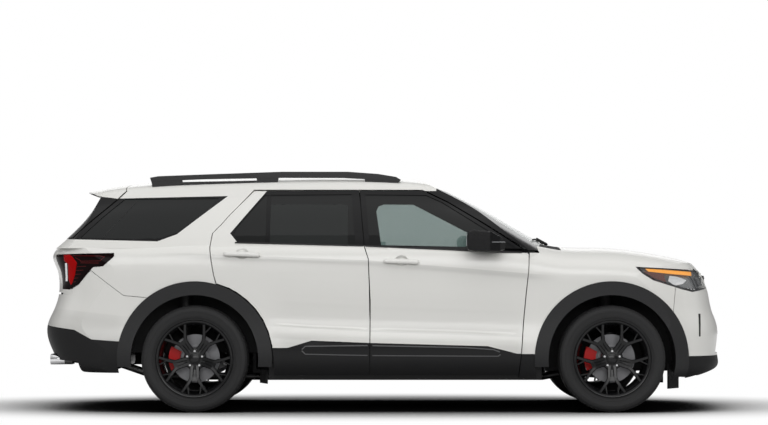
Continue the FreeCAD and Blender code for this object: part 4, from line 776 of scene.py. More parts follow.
    def tread(r_top, o0, o1, count, fill, skew, phase=0.0, r_low=0.3795, drop0=0.0, drop1=0.0):
        for i in range(count):
            a0 = 2 * math.pi * (i + phase) / count
            a1 = a0 + 2 * math.pi * fill / count
            base = len(verts)
            for r0, r1 in ((r_low, r_low), (r_top - drop0, r_top - drop1)):
                for a, o, r in ((a0, o0, r0), (a1, o0, r0), (a1 + skew, o1, r1), (a0 + skew, o1, r1)):
                    verts.append((ax + r * math.sin(a), y + s * o, HUB_Z + r * math.cos(a)))
            b = base
            faces.extend([(b + 4, b + 5, b + 6, b + 7), (b, b + 1, b + 5, b + 4),
                          (b + 1, b + 2, b + 6, b + 5), (b + 2, b + 3, b + 7, b + 6),
                          (b + 3, b, b + 4, b + 7)])

    tread(0.3878, -0.014, 0.014, 72, 0.93, 0.012)
    for q in (-1, 1):
        tread(0.3877, q * 0.020, q * 0.052, 72, 0.84, q * 0.028, 0.3)
        tread(0.3874, q * 0.058, q * 0.086, 72, 0.82, q * 0.030, 0.6, drop1=0.0006)
        tread(0.3866, q * 0.092, q * 0.1215, 72, 0.78, q * 0.010, 0.1, r_low=0.374, drop1=0.0070)
    blocks = obj_from("tread_%s_%s" % (tag, hand), verts, faces, "rubber", smooth=False)
    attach(blocks, body)
    # short radial ribs low on the sidewall
    verts, faces = [], []
    for i in range(180):
        a = 2 * math.pi * i / 180
        w = 0.0018
        base = len(verts)
        for r, o in ((0.3685, h - 0.0088), (0.3765, h - 0.0172)):
            for d in (-w, w):
                for lift in (0.0, 0.0016):
                    verts.append((ax + r * math.sin(a + d / r), y + s * (o + lift),
                                  HUB_Z + r * math.cos(a + d / r)))
        b = base
        faces.extend([(b + 1, b + 3, b + 7, b + 5), (b, b + 1, b + 5, b + 4), (b + 2, b + 3, b + 7, b + 6)])
    ribs_ob = obj_from("shoulder_ribs_%s_%s" % (tag, hand), verts, faces, "rubber", smooth=False)
    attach(ribs_ob, body)


for tag, ax in (("front", AXLE_F), ("rear", AXLE_R)):
    for hand, s in SIDES:
        wheel_visual(tag, hand, s, ax)


# lamps
def along(line, t):
    """Point at share t of a polyline of (x, z)."""
    total = [0.0]
    for a, b in zip(line, line[1:]):
        total.append(total[-1] + math.hypot(b[0] - a[0], b[1] - a[1]))
    want = t * total[-1]
    for i in range(1, len(total)):
        if want <= total[i] or i == len(total) - 1:
            k = (want - total[i - 1]) / max(1e-9, total[i] - total[i - 1])
            a, b = line[i - 1], line[i]
            return a[0] + (b[0] - a[0]) * k, a[1] + (b[1] - a[1]) * k


def patch(name, node, low, high, nx, nz, depth, mat, side, body="body", thick=0.0, relief=None):
    """A sheet that follows a node's face at a depth, between two lines of (x, z)."""
    rows = []
    for i in range(nx + 1):
        a = along(low, i / nx)
        b = along(high, i / nx)
        row = []
        for k in range(nz + 1):
            t = k / nz
            p = skin(node, a[0] + (b[0] - a[0]) * t, a[1] + (b[1] - a[1]) * t, side)
            if p is None:
                p = row[-1] if row else (rows[-1][k] if rows else None)
                if p is None:
                    break
                row.append(p.copy())
                continue
            deep = depth + (relief(i, k) if relief else 0.0)
            row.append(p - Vector((0.35, side * 0.94, 0.0)) * deep if a[0] > 0 else
                       p - Vector((-0.35, side * 0.94, 0.0)) * deep)
        if len(row) == nz + 1:
            rows.append(row)
    if len(rows) < 2:
        print("patch missed", name)
        return None
    ob = grid_obj(name, rows, mat)
    if thick:
        mod = ob.modifiers.new("thick", "SOLIDIFY")
        mod.thickness = thick
        mod.offset = 0.0
    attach(ob, body)
    return ob


def front_patch(name, node, low, high, nx, nz, depth, mat, s, thick=0.0, relief=None):
    """A sheet that follows a node's front face at a depth, between two lines of (distance out, z)."""
    if node not in TREES:
        TREES[node] = bvh_of(node)
    rows = []
    for i in range(nx + 1):
        a = along(low, i / nx)
        b = along(high, i / nx)
        row = []
        for k in range(nz + 1):
            y = a[0] + (b[0] - a[0]) * k / nz
            z = a[1] + (b[1] - a[1]) * k / nz
            p = TREES[node].ray_cast(Vector((3.0, s * y, z)), Vector((-1, 0, 0)))[0]
            if p is not None:
                row.append(p - Vector((depth + (relief(i, k) if relief else 0.0), 0, 0)))
        if len(row) == nz + 1:
            rows.append(row)
    if len(rows) < 2:
        print("front patch missed", name)
        return
    ob = grid_obj(name, rows, mat)
    if thick:
        mod = ob.modifiers.new("thick", "SOLIDIFY")
        mod.thickness = thick
        mod.offset = 0.0
    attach(ob, "body")


def head_lamp(hand, s):
    n = "headlamps"
    patch("lamp_back_" + hand, n, [(1.850, 1.043), (1.884, 1.012), (1.966, 0.962), (2.168, 0.901),
                                   (2.300, 0.890)],
          [(1.852, 1.046), (1.95, 1.047), (2.15, 1.036), (2.250, 1.028), (2.300, 1.014)], 36, 10, 0.034,
          "lampgrey", s)
    patch("lamp_amber_" + hand, n, [(1.930, 1.020), (2.10, 1.003), (2.262, 0.990)],
          [(1.905, 1.043), (2.10, 1.030), (2.262, 1.018)], 40, 4, 0.007, "amber", s, thick=0.004,
          relief=lambda i, k: 0.0015 * (i % 2))
    patch("lamp_facets_" + hand, n, [(1.895, 1.003), (1.975, 0.955), (2.070, 0.926)],
          [(1.905, 1.022), (1.975, 1.010), (2.045, 1.000)], 14, 7, 0.010, "facet", s,
          relief=lambda i, k: 0.006 * ((i + k) % 2))
    patch("lamp_beam_" + hand, n, [(2.078, 0.952), (2.128, 0.918), (2.190, 0.930)],
          [(2.090, 0.990), (2.150, 0.983), (2.222, 0.958)], 12, 8, 0.012, "whitelamp", s,
          relief=lambda i, k: 0.020 * math.sin(math.pi * k / 8) * math.sin(math.pi * i / 12))
    front_patch("lamp_inner_" + hand, n, [(0.6175, 0.900), (0.680, 0.895), (0.760, 0.888)],
                [(0.6175, 1.010), (0.660, 1.024), (0.760, 1.022)], 24, 12, 0.030, "lampgrey", s)
    front_patch("lamp_reflector_" + hand, n, [(0.640, 0.920), (0.730, 0.914)],
                [(0.646, 0.978), (0.730, 0.984)], 16, 8, 0.018, "lampgrey", s,
                relief=lambda i, k: 0.004 * ((i // 2 + k // 2) % 2))
    front_patch("lamp_rim_foot_" + hand, n, [(0.6172, 0.9005), (0.670, 0.8945), (0.735, 0.889)],
                [(0.6172, 0.9090), (0.670, 0.9030), (0.735, 0.8975)], 14, 1, 0.001, "piano", s, thick=0.002)
    patch("lamp_low_" + hand, n, [(2.10, 0.908), (2.17, 0.896), (2.26, 0.882), (2.315, 0.890)],
          [(2.09, 0.918), (2.17, 0.905), (2.26, 0.896), (2.315, 0.903)], 26, 2, 0.004, "piano", s,
          thick=0.004,
          relief=lambda i, k: 0.002 * (i % 2))
    for i in range(1, 7):
        x = 2.150 + i * 0.024
        z = 0.9035 - (x - 2.145) * 0.10
        patch("lamp_pip_%s_%d" % (hand, i), n, [(x, z - 0.004), (x + 0.012, z - 0.005)],
              [(x, z + 0.003), (x + 0.012, z + 0.002)], 2, 2, 0.002, "whitelamp", s, thick=0.002)
    edge = [(1.842, 1.051), (1.884, 1.010), (1.966, 0.960), (2.168, 0.899), (2.262, 0.878), (2.352, 0.893)]
    patch("lamp_rim_low_" + hand, n, edge, [(x + 0.004, z + 0.009) for x, z in edge], 40, 1, 0.001, "piano",
          s, thick=0.002)
    top = [(1.842, 1.052), (1.95, 1.0485), (2.15, 1.037), (2.286, 1.0285), (2.336, 0.998)]
    patch("lamp_rim_top_" + hand, n, [(x, z - 0.008) for x, z in top], top, 40, 1, 0.001, "piano", s,
          thick=0.002)


def tail_lamp(hand, s):
    n = "tail_lamps"
    patch("tail_red_" + hand, n, [(-2.274, 0.924), (-2.295, 0.964), (-2.296, 1.0765), (-2.325, 1.098),
                                  (-2.328, 1.144)],
          [(-2.268, 0.926), (-2.243, 0.988), (-2.223, 1.085), (-2.262, 1.132), (-2.280, 1.145)], 30, 6,
          -0.0012, "redlamp",
          s, thick=0.002, relief=lambda i, k: 0.0012 * (i % 2))
    patch("tail_white_" + hand, n, [(-2.317, 0.950), (-2.318, 1.02), (-2.318, 1.082)],
          [(-2.302, 0.950), (-2.302, 1.02), (-2.302, 1.082)], 16, 2, -0.0020, "whitelamp", s, thick=0.002)
    for tag, line in (("a", [(-2.255, 1.136), (-2.05, 1.133), (-2.022, 1.128)]),
                      ("b", [(-2.016, 1.130), (-2.050, 1.098), (-2.20, 1.096)]),
                      ("c", [(-2.235, 1.122), (-2.195, 1.100)]),
                      ("d", [(-2.195, 1.084), (-2.060, 1.082)])):
        skin_strip("tail_line_%s_%s" % (tag, hand), n, line, 0.0035, 0.0016, "darkred2", s, "body", steps=12)
    for i in range(5):
        z = 1.055 - i * 0.028
        x1 = -2.155 - i * 0.020
        skin_strip("tail_rib_%d_%s" % (i, hand), n, [(-2.245 - i * 0.006, z), (x1, z + 0.004)], 0.003, 0.0012,
                   "darkred2", s, "body", steps=8)
    outline = [(-2.278, 0.893), (-2.214, 0.932), (-2.106, 1.058), (-2.031, 1.064), (-1.951, 1.134),
               (-1.951, 1.149), (-2.030, 1.147), (-2.30, 1.144)]
    skin_strip("tail_rim_" + hand, n, outline, 0.009, 0.0022, "piano", s, "body", steps=10)


for hand, s in SIDES:
    head_lamp(hand, s)
    tail_lamp(hand, s)
    corner = [(1.0665, -0.953, 1.105), (1.128, -0.941, 1.108), (1.128, -0.901, 1.157),
              (1.0665, -0.934, 1.157)]
    inner = [(x, y + 0.010, z) for x, y, z in corner]
    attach(obj_from("fender_corner_" + hand, [(x, -s * y, z) for x, y, z in corner + inner],
                     [(0, 1, 2, 3), (7, 6, 5, 4), (0, 4, 5, 1), (1, 5, 6, 2), (2, 6, 7, 3), (3, 7, 4, 0)],
                     "paint",
                     smooth=False, bevel=0.002), "body")


# body lines and trim
def side_trim(hand, s):
    fd, rd = "door_front_" + hand, "door_rear_" + hand
    fbody, rbody = fd + "_leaf", rd + "_leaf"
    # belt seals
    skin_strip("belt_seal_front_" + hand, fd,
               [(-0.127, 1.2072), (0.40, 1.184), (0.853, 1.162), (1.01, 1.160)],
               0.011, 0.0045, "seam", s, fbody, steps=14, thick=0.004)
    skin_strip("belt_seal_rear_" + hand, rd, [(-1.075, 1.2315), (-0.60, 1.220), (-0.143, 1.2085)],
               0.011, 0.0045, "seam", s, rbody, steps=14, thick=0.004)
    patch("belt_step_" + hand, fd, [(-0.124, 1.1800), (0.045, 1.1800)], [(-0.124, 1.1900), (0.045, 1.1900)],
          10, 1,
          -0.0006, "door", s, body=fbody)
    # upright bar that splits the rear door's glass, and the joint in the rear quarter's glass
    skin_strip("glass_bar_" + hand, "glass_rear_" + hand, [(-0.837, 1.2335), (-0.837, 1.583)], 0.031, 0.0035,
               "piano", s,
               rbody, steps=20, thick=0.003)
    skin_strip("quarter_joint_" + hand, "fixed_glass", [(-1.808, 1.540), (-2.048, 1.256)], 0.006, 0.0014,
               "seam", s,
               "body", steps=20)
    # lips along the long groove of the lower trim: raised strips, partly real relief and partly painted
    # highlight, coloured lighter than the trim where the groove's edges catch light
    for tag, node, body, top, foot in (
            ("front", fd, fbody, [(-0.075, 0.4845), (0.60, 0.4700), (0.800, 0.4560), (0.848, 0.4380)],
             [(-0.075, 0.4130), (0.60, 0.4090), (0.835, 0.4080), (0.852, 0.4200)]),
            ("rear", rd, rbody, [(-0.586, 0.4560), (-0.560, 0.4800), (-0.30, 0.4830), (-0.110, 0.4850)],
             [(-0.586, 0.4480), (-0.560, 0.4230), (-0.30, 0.4170), (-0.110, 0.4140)])):
        for edge, line in (("upper", top), ("lower", foot)):
            skin_strip("groove_%s_%s_%s" % (edge, tag, hand), node, line, 0.0075, 0.0030, "satin", s, body,
                       steps=14)
    # rounded grips over the handle bars
    for tag, node, body, x0, x1, z in (("front", fd, fbody, 0.004, 0.266, 1.094),
                                       ("rear", rd, rbody, -1.156, -0.886, 1.146)):
        face = skin(node, (x0 + x1) / 2, z - 0.060, s)
        if face is None:
            continue
        n = 30
        rows = []
        for i in range(n + 1):
            t = i / n
            x = x0 + (x1 - x0) * t
            end = min(1.0, math.sqrt(max(0.0, 1 - (1 - min(1.0, min(t, 1 - t) * 9)) ** 2)) + 0.05)
            zc = z - (x - (x0 + x1) / 2) * 0.035
            yc = face.y + s * 0.0225
            rows.append([(x, yc + s * 0.0115 * end * math.cos(b), zc + 0.0172 * end * math.sin(b))
                         for b in [2 * math.pi * k / 16 for k in range(16)]])
        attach(grid_obj("grip_%s_%s" % (tag, hand), rows, "paint", closed_u=True, caps=True), body)
    # painted shade: a flat dark sheet laid on the front bumper's corner where its upright slot shows shade
    patch("slot_shade_sheet_" + hand, "front_bumper", [(2.3035, 0.548), (2.3035, 0.714)],
          [(2.3160, 0.548), (2.3215, 0.714)], 16, 2,
          -0.0008, "seam", s)


def slab(name, rows, mat, body="body"):
    """Closed sheet from rows of (outer top, outer foot, inner foot, inner top) points."""
    ob = grid_obj(name, [[Vector(p) for p in row] for row in rows], mat, closed_u=True, caps=True, auto=30)
    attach(ob, body)
    return ob


LAMP_FOOT = ((-2.3440, 0.7460), (-2.3415, 0.7600), (-2.3369, 0.7695), (-2.3277, 0.7860), (-2.3181, 0.8010),
             (-2.3069, 0.8160), (-2.2926, 0.8320), (-2.2723, 0.8505), (-2.2615, 0.8590))
# Top edges of the painted wedge between hood, fender and headlamp: x, then inner and outer (y, z)
FENDER_TIP = ((2.120, 0.7592, 1.1020, 0.7665, 1.1002), (2.150, 0.7470, 1.0975, 0.7665, 1.0935),
              (2.180, 0.7348, 1.0925, 0.7665, 1.0862), (2.200, 0.7266, 1.0888, 0.7665, 1.0790),
              (2.210, 0.7226, 1.0868, 0.7665, 1.0695), (2.220, 0.7185, 1.0848, 0.7665, 1.0590),
              (2.230, 0.7144, 1.0815, 0.7665, 1.0490), (2.238, 0.7112, 1.0765, 0.7660, 1.0410),
              (2.246, 0.7078, 1.0700, 0.7650, 1.0345), (2.256, 0.7036, 1.0615, 0.7430, 1.0340),
              (2.266, 0.6995, 1.0530, 0.7230, 1.0335), (2.276, 0.6955, 1.0450, 0.7040, 1.0330),
              (2.282, 0.6912, 1.0390, 0.6935, 1.0325))
NOSE_LIP = ((0.470, 1.0060), (0.500, 1.0100), (0.560, 1.0115), (0.612, 1.0110))


def body_fillers(hand, s):
    """Painted edges that close the joints under the tail lamp and round the hood's front corners."""
    slab("lamp_foot_" + hand, [[(x, s * y, 0.8940), (x, s * y, 0.8560), (x + 0.010, s * (y - 0.010), 0.8560),
                                (x + 0.010, s * (y - 0.010), 0.8940)] for x, y in LAMP_FOOT], "paint")
    slab("fender_tip_" + hand,
         [[(x, s * y1, z1), (x, s * y1, 1.0310), (x, s * y0, 1.0310), (x, s * y0, z0),
           (x, s * (y0 * 0.65 + y1 * 0.35), z0 * 0.65 + z1 * 0.35 + 0.07 * (y1 - y0)),
           (x, s * (y0 * 0.30 + y1 * 0.70), z0 * 0.30 + z1 * 0.70 + 0.07 * (y1 - y0))]
          for x, y0, z0, y1, z1 in FENDER_TIP], "paint")
    slab("nose_lip_" + hand, [[(2.3520, s * y, z), (2.3520, s * y, 0.9750), (2.3385, s * y, 0.9750),
                               (2.3385, s * y, z)] for y, z in NOSE_LIP], "paint")
    seal = []
    for x, z in ((-1.902, 1.600), (-1.986, 1.520), (-2.008, 1.500), (-2.030, 1.480), (-2.052, 1.460),
                 (-2.074, 1.440), (-2.118, 1.400), (-2.172, 1.350), (-2.224, 1.300)):
        face = skin("side_" + hand, x + 0.020, z, s)
        if face is not None:
            seal.append((x, face.y - s * 0.062, z))
    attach(tube("gate_seal_" + hand, seal, 0.011, "seam", n=12), "body")


def slot_cover(hand, s):
    """Painted cover over the bumper's own slot, which stands too far inward."""
    node = "front_bumper"
    if node not in TREES:
        TREES[node] = bvh_of(node)
    rows = []
    for i in range(17):
        z = 0.522 + 0.186 * i / 16
        t = (z - 0.530) / 0.170
        inner = 0.752 - 0.014 * t - 0.004
        outer = 0.790 - 0.020 * t + 0.004
        near = []
        for y in (inner - 0.010, inner, outer, outer + 0.010):
            near.append(TREES[node].ray_cast(Vector((3.0, s * y, z)), Vector((-1, 0, 0)))[0])
        if None in near:
            continue
        span = (outer - inner) / 0.010
        rise = (near[1] - near[0]) * span
        fall = (near[3] - near[2]) * span
        row = []
        for k in range(9):
            u = k / 8
            p = (near[1] * (2 * u ** 3 - 3 * u ** 2 + 1) + rise * (u ** 3 - 2 * u ** 2 + u)
                 + near[2] * (3 * u ** 2 - 2 * u ** 3) + fall * (u ** 3 - u ** 2))
            row.append(p + Vector((0.0006, s * 0.0004, 0.0)))
        rows.append(row)
    if len(rows) < 2:
        print("slot cover missed", hand)
        return
    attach(grid_obj("slot_cover_" + hand, rows, "paint"), "body")


def gate_point(node, y, z, lift):
    """Point on the tailgate's rear face, moved off it to the rear."""
    if node not in TREES:
        TREES[node] = bvh_of(node)
    hit = TREES[node].ray_cast(Vector((-4.0, y, z)), Vector((1, 0, 0)))[0]
    return None if hit is None else hit + Vector((-lift, 0, 0))


def gate_details():
    """Rubber seal under the tailgate's foot, and the rear window's wiper."""
    rows = []
    for i in range(31):
        y = -0.735 + 1.470 * i / 30
        p = gate_point("tailgate", y, 0.890, 0.0)
        if p is not None:
            rows.append([(p.x + 0.012, y, 0.8665), (p.x + 0.012, y, 0.8540), (p.x + 0.045, y, 0.8540),
                         (p.x + 0.045, y, 0.8665)])
    slab("gate_sill_seal", rows, "seam")
    body = "tail_lid"
    root = gate_point("tailgate_glass", 0.0, 1.312, -0.004)
    top = gate_point("tailgate_glass", 0.0, 1.316, 0.052)
    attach(tube("rear_wiper_hub", [root, root.lerp(top, 0.75), top], [0.023, 0.021, 0.017], "satin", n=20),
            body)
    blade = [gate_point("tailgate_glass", y, 1.296 + 0.05 * y, 0.010)
             for y in (0.05, 0.12, 0.19, 0.26, 0.33, 0.40)]
    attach(tube("rear_wiper_blade", blade, 0.0065, "seam", n=8), body)
    arm = [top + Vector((0.014, 0, 0)), top + Vector((0.018, 0.05, -0.003)),
           blade[3] + Vector((-0.010, 0, 0.004))]
    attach(tube("rear_wiper_arm", arm, [0.012, 0.010, 0.006], "satin", n=8), body)


def crease(name, node, points, mat, s, body, width=0.016, lift=0.0022):
    """A soft pressed line: a low ridge with sloping flanks."""
    rows = []
    path = []
    for a, b in zip(points, points[1:]):
        path += [(a[0] + (b[0] - a[0]) * i / 16, a[1] + (b[1] - a[1]) * i / 16) for i in range(16)]
    path.append(points[-1])
    n = len(path)
    for i, (x, z) in enumerate(path):
        k = min(1.0, i / 5.0, (n - 1 - i) / 5.0)
        ps = [skin(node, x, z + d * width, s) for d in (-1.0, -0.1, 0.1, 0.7)]
        if any(p is None for p in ps):
            continue
        lifts = (-0.0004, lift * k, lift * k, -0.0004)
        rows.append([p + Vector((0, s * h, 0)) for p, h in zip(ps, lifts)])
    if len(rows) > 3:
        ob = grid_obj(name, rows, mat, auto=180)
        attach(ob, body)


gate_details()
for hand, s in SIDES:
    side_trim(hand, s)
    body_fillers(hand, s)
    slot_cover(hand, s)
    fd, rd = "door_front_" + hand, "door_rear_" + hand
    crease("low_line_front_" + hand, fd, [(-0.085, 0.605), (0.45, 0.592), (0.97, 0.570)], "paint", s,
           fd + "_leaf")
    crease("low_line_rear_" + hand, rd, [(-0.78, 0.640), (-0.50, 0.622), (-0.108, 0.606)], "paint", s,
           rd + "_leaf")


# mirrors and wipers
for hand, s in SIDES:
    body = "door_front_%s_leaf" % hand
    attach(block("mirror_lamp_" + hand, (0.760, s * 1.066 - 0.0640, 1.2275),
                  (0.8795, s * 1.066 + 0.0640, 1.2345),
                  "lampgrey", bevel=0.002, body=None), body)
    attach(block("mirror_glass_" + hand, (0.6015, s * 1.060 - 0.060, 1.205),
                  (0.6065, s * 1.060 + 0.060, 1.300),
                  "mirrorface", bevel=0.002, body=None), body)
    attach(block("mirror_band_" + hand, (0.640, s * 1.060 - 0.0735, 1.214),
                  (0.760, s * 1.060 + 0.0735, 1.2195),
                  "satin", bevel=0.001, body=None), body)


def screen_point(x, y, lift=0.0):
    if "fixed_glass" not in TREES:
        TREES["fixed_glass"] = bvh_of("fixed_glass")
    hit, normal, _, _ = TREES["fixed_glass"].ray_cast(Vector((x, y, 2.2)), Vector((0, 0, -1)))
    if hit is None:
        return None
    if normal.z < 0:
        normal = -normal
    return hit + normal * lift


def wiper(name, pivot, points):
    path = [p for p in (screen_point(x, y, 0.010) for x, y in points) if p is not None]
    if len(path) < 2:
        print("wiper missed", name)
        return
    mid = path[len(path) // 2]
    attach(tube(name + "_blade", path, 0.0065, "seam", n=8), "body")
    arm = [Vector(pivot), Vector(pivot) + Vector((-0.01, 0, 0.012)), mid + Vector((0.0, 0, 0.010))]
    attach(tube(name + "_arm", arm, [0.013, 0.012, 0.007], "piano", n=8), "body")


wiper("wiper_driver", (1.235, 0.52, 1.200), [(1.205 - 0.010 * abs(i - 3), 0.62 - 0.10 * i) for i in range(8)])
wiper("wiper_passenger", (1.245, -0.16, 1.222), [(1.215 - 0.016 * i, -0.02 - 0.085 * i) for i in range(8)])


# seats
def pillow(name, size, place, crown, mat="leather", cells=14, pinch=0.012, bulge=None, sim=False):
    """Upholstered cushion of a box size: crowned faces, rounded edges, sides pulled in."""
    w, d, h = size
    bm = bmesh.new()
    bmesh.ops.create_cube(bm, size=2.0)
    bmesh.ops.subdivide_edges(bm, edges=bm.edges[:], cuts=cells, use_grid_fill=True)
    for v in bm.verts:
        u, t, k = v.co
        r = 6.0
        n = (abs(u) ** r + abs(t) ** r + abs(k) ** r) ** (1.0 / r)
        u, t, k = u / n, t / n, k / n
        side_in = pinch * (1 - abs(u) ** 2) * (abs(t) > 0.7) + pinch * (1 - abs(t) ** 2) * (abs(u) > 0.7)
        puff = crown * (1 - u * u) * (1 - t * t)
        if bulge:
            puff += bulge(u, t)
        z = k * (h / 2 - crown) + (puff if k > 0 else -puff * 0.25)
        v.co = Vector((u * (w / 2 - side_in), t * (d / 2 - side_in), z))
    me = bpy.data.meshes.new(name)
    bm.to_mesh(me)
    bm.free()
    ob = bpy.data.objects.new(name, me)
    bpy.context.scene.collection.objects.link(ob)
    me.materials.append(M[mat])
    for p in me.polygons:
        p.use_smooth = True
    if sim:
        puff_up(ob, 0.010)
    me = ob.data
    me.transform(place)
    return ob


def puff_up(ob, cap):
    """Remesh the cushion, let air pressure fill its cover, and keep the result."""
    rest = ob.modifiers.new("remesh", "REMESH")
    rest.mode = "VOXEL"
    rest.voxel_size = 0.009
    dg = bpy.context.evaluated_depsgraph_get()
    me = bpy.data.meshes.new_from_object(ob.evaluated_get(dg))
    ob.modifiers.remove(rest)
    mat = ob.data.materials[0]
    ob.data = me
    me.materials.clear()
    me.materials.append(mat)
    start = [v.co.copy() for v in me.vertices]
    cloth = ob.modifiers.new("cloth", "CLOTH")
    cloth.settings.use_pressure = True
    cloth.settings.uniform_pressure_force = 4.0
    cloth.settings.effector_weights.gravity = 0.0
    cloth.settings.quality = 4
    cloth.point_cache.frame_start = 1
    cloth.point_cache.frame_end = 20
    scene = bpy.context.scene
    for f in range(1, 21):
        scene.frame_set(f)
    dg = bpy.context.evaluated_depsgraph_get()
    done = bpy.data.meshes.new_from_object(ob.evaluated_get(dg))
    ob.modifiers.remove(cloth)
    scene.frame_set(1)
    for v, a in zip(done.vertices, start):
        move = v.co - a
        if move.length > cap:
            v.co = a + move.normalized() * cap
    ob.data = done
    done.materials.clear()
    done.materials.append(mat)
    for p in done.polygons:
        p.use_smooth = True


def seam_on(name, ob, points, axis, r, mat="seam"):
    """A stitched seam: a thin cord laid on a cushion along points, dropped along an axis."""
    bm = bmesh.new()
    bm.from_mesh(ob.data)
    tree = BVHTree.FromBMesh(bm)
    bm.free()
    path = []
    for p in points:
        hit = tree.ray_cast(Vector(p) - Vector(axis) * 0.3, Vector(axis))[0]
        if hit is not None:
            path.append(hit)
    if len(path) > 2:
        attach(tube(name, path, r, mat, n=6), "body")


SEAT_ROWS = (("front", 0.130, 0.380, 0.520, 0.500, 1.300, 0.3003),
             ("second", -0.760, 0.350, 0.540, 0.460, 1.320, 0.3003),
             ("third", -1.500, 0.270, 0.600, 0.470, 1.300, 0.5403))


def seat_set():
    seat_node = "seats"
    for row, x, yo, z, width, top, floor in SEAT_ROWS:
        for hand, s in SIDES:
            y = s * yo
            lean = (Matrix.Translation((x - 0.235, y, z + 0.100)) @ Matrix.Rotation(math.radians(-16), 4, "Y")
                    @ Matrix.Translation((-(x - 0.235), -y, -(z + 0.100))))
            sim = s < 0
            base = pillow("cushion_%s_%s" % (row, hand), (0.50, width - 0.012, 0.146),
                          Matrix.Translation((x + 0.015, y, z + 0.075)), 0.016, sim=sim,
                          bulge=lambda u, t: 0.010 * (1 if abs(t) > 0.62 else 0) * (1 - u * u))
            high = top - 0.160 - (z + 0.060)
            up = Matrix.Rotation(math.radians(-90), 4, "Y")
            back = pillow("backrest_%s_%s" % (row, hand), (high - 0.006, width - 0.012, 0.126),
                          lean @ Matrix.Translation((x - 0.235, y, z + 0.060 + high / 2)) @ up.inverted(),
                          0.014, sim=sim,
                          bulge=lambda u, t: 0.010 * (1 if abs(t) > 0.62 else 0) * (1 - u * u))
            head = pillow("headrest_%s_%s" % (row, hand), (0.168, 0.256, 0.096),
                          lean @ Matrix.Translation((x - 0.240, y, top - 0.065)) @ up.inverted(), 0.010,
                          cells=10)
            for ob in (base, back, head):
                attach(ob, "body")
                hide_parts(seat_node)
            for a in (-0.060, 0.060):
                p0 = lean @ Vector((x - 0.238, y + a, top - 0.175))
                p1 = lean @ Vector((x - 0.238, y + a, top - 0.140))
                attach(tube("post_%s_%s_%s" % (row, hand, "ab"[a > 0]), [p0, p1], 0.006, "chrome", n=10),
                        "body")
            w2 = width / 2
            block("frame_%s_%s" % (row, hand), (x - 0.090, y - w2 + 0.06, floor),
                  (x + 0.200, y + w2 - 0.06, z + 0.012),
                  "trim", bevel=0.012)
            for q in (-1, 1):
                block("shield_%s_%s_%s" % (row, hand, "ab"[q > 0]),
                      (x - 0.230, y + q * (w2 - 0.030) - 0.012, z + 0.004),
                      (x + 0.150, y + q * (w2 - 0.030) + 0.012, z + 0.050), "trim", bevel=0.008)
            for q in (-0.62, 0.62):
                seam_on("seam_%s_%s_%s" % (row, hand, "ab"[q > 0]), base,
                        [(x - 0.22 + 0.48 * i / 14, y + q * w2, z + 0.3) for i in range(15)], (0, 0, -1),
                        0.0022)
            seam_on("seam_cross_%s_%s" % (row, hand), base,
                    [(x + 0.10, y - 0.6 * w2 + 1.2 * w2 * i / 12, z + 0.3) for i in range(13)], (0, 0, -1),
                    0.0020)


seat_set()


# cabin
def wheel_point(x, y, z):
    m = Matrix.Translation((0.560, 0.380, 1.120)) @ Matrix.Rotation(math.radians(22), 4, "Y")
    return m @ Vector((x, y, z))


wheel_rim = grid_obj("wheel_grip", [
    [wheel_point(0.0155 * math.cos(b), (0.178 + 0.0155 * math.sin(b)) * math.sin(a),
                 (0.178 + 0.0155 * math.sin(b)) * math.cos(a))
     for b in [2 * math.pi * k / 12 for k in range(12)]] for a in [2 * math.pi * i / 56 for i in range(56)]],
    "leather", closed_u=True, closed_v=True)
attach(wheel_rim, "body")
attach(block("dash_screen", (0.7895, -0.118, 1.052), (0.7935, 0.118, 1.238), "screenface", bevel=0.004,
              body=None), "body")
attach(block("cluster_screen", (0.7780, 0.255, 1.134), (0.7835, 0.505, 1.163), "screenface", bevel=0.002,
              body=None), "body")
for i, (y0, y1) in enumerate(((-0.66, -0.46), (0.56, 0.66), (-0.44, -0.14))):
    for k in range(4):
        z = 0.990 + k * 0.018
        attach(block("vent_%d_%d" % (i, k), (0.803, y0, z), (0.830, y1, z + 0.005), "piano", bevel=0.0015,
                      body=None), "body")
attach(tube("shifter", [(0.52, 0.0, 0.758), (0.52, 0.0, 0.800)], [0.034, 0.030], "piano", n=28), "body")
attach(block("arm_pad", (0.140, -0.095, 0.758), (0.400, 0.095, 0.786), "trim", bevel=0.014, body=None),
        "body")
for hand, s in SIDES:
    for tag, x0, x1, z0, z1 in (("front", 0.10, 0.82, 0.90, 0.94), ("rear", -0.95, -0.28, 0.92, 0.96)):
        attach(block("armrest_%s_%s" % (tag, hand), (x0, min(s * 0.846, s * 0.800), z0),
                      (x1, max(s * 0.846, s * 0.800), z1),
                      "trim", bevel=0.016, body=None), "door_%s_%s_leaf" % (tag, hand))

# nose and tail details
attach(block("radiator", (2.26, -0.52, 0.70), (2.30, 0.52, 0.99), "under", bevel=0.004, body=None), "body")
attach(block("air_guide", (2.245, -0.55, 0.525), (2.258, 0.55, 0.705), "under", bevel=0.003, body=None),
        "body")
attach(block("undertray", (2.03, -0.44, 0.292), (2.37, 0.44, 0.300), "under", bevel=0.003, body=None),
        "body")
for i in range(22):
    y = -0.50 + i * 0.0476
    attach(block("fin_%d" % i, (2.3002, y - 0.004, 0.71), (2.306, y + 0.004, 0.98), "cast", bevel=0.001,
                  body=None), "body")
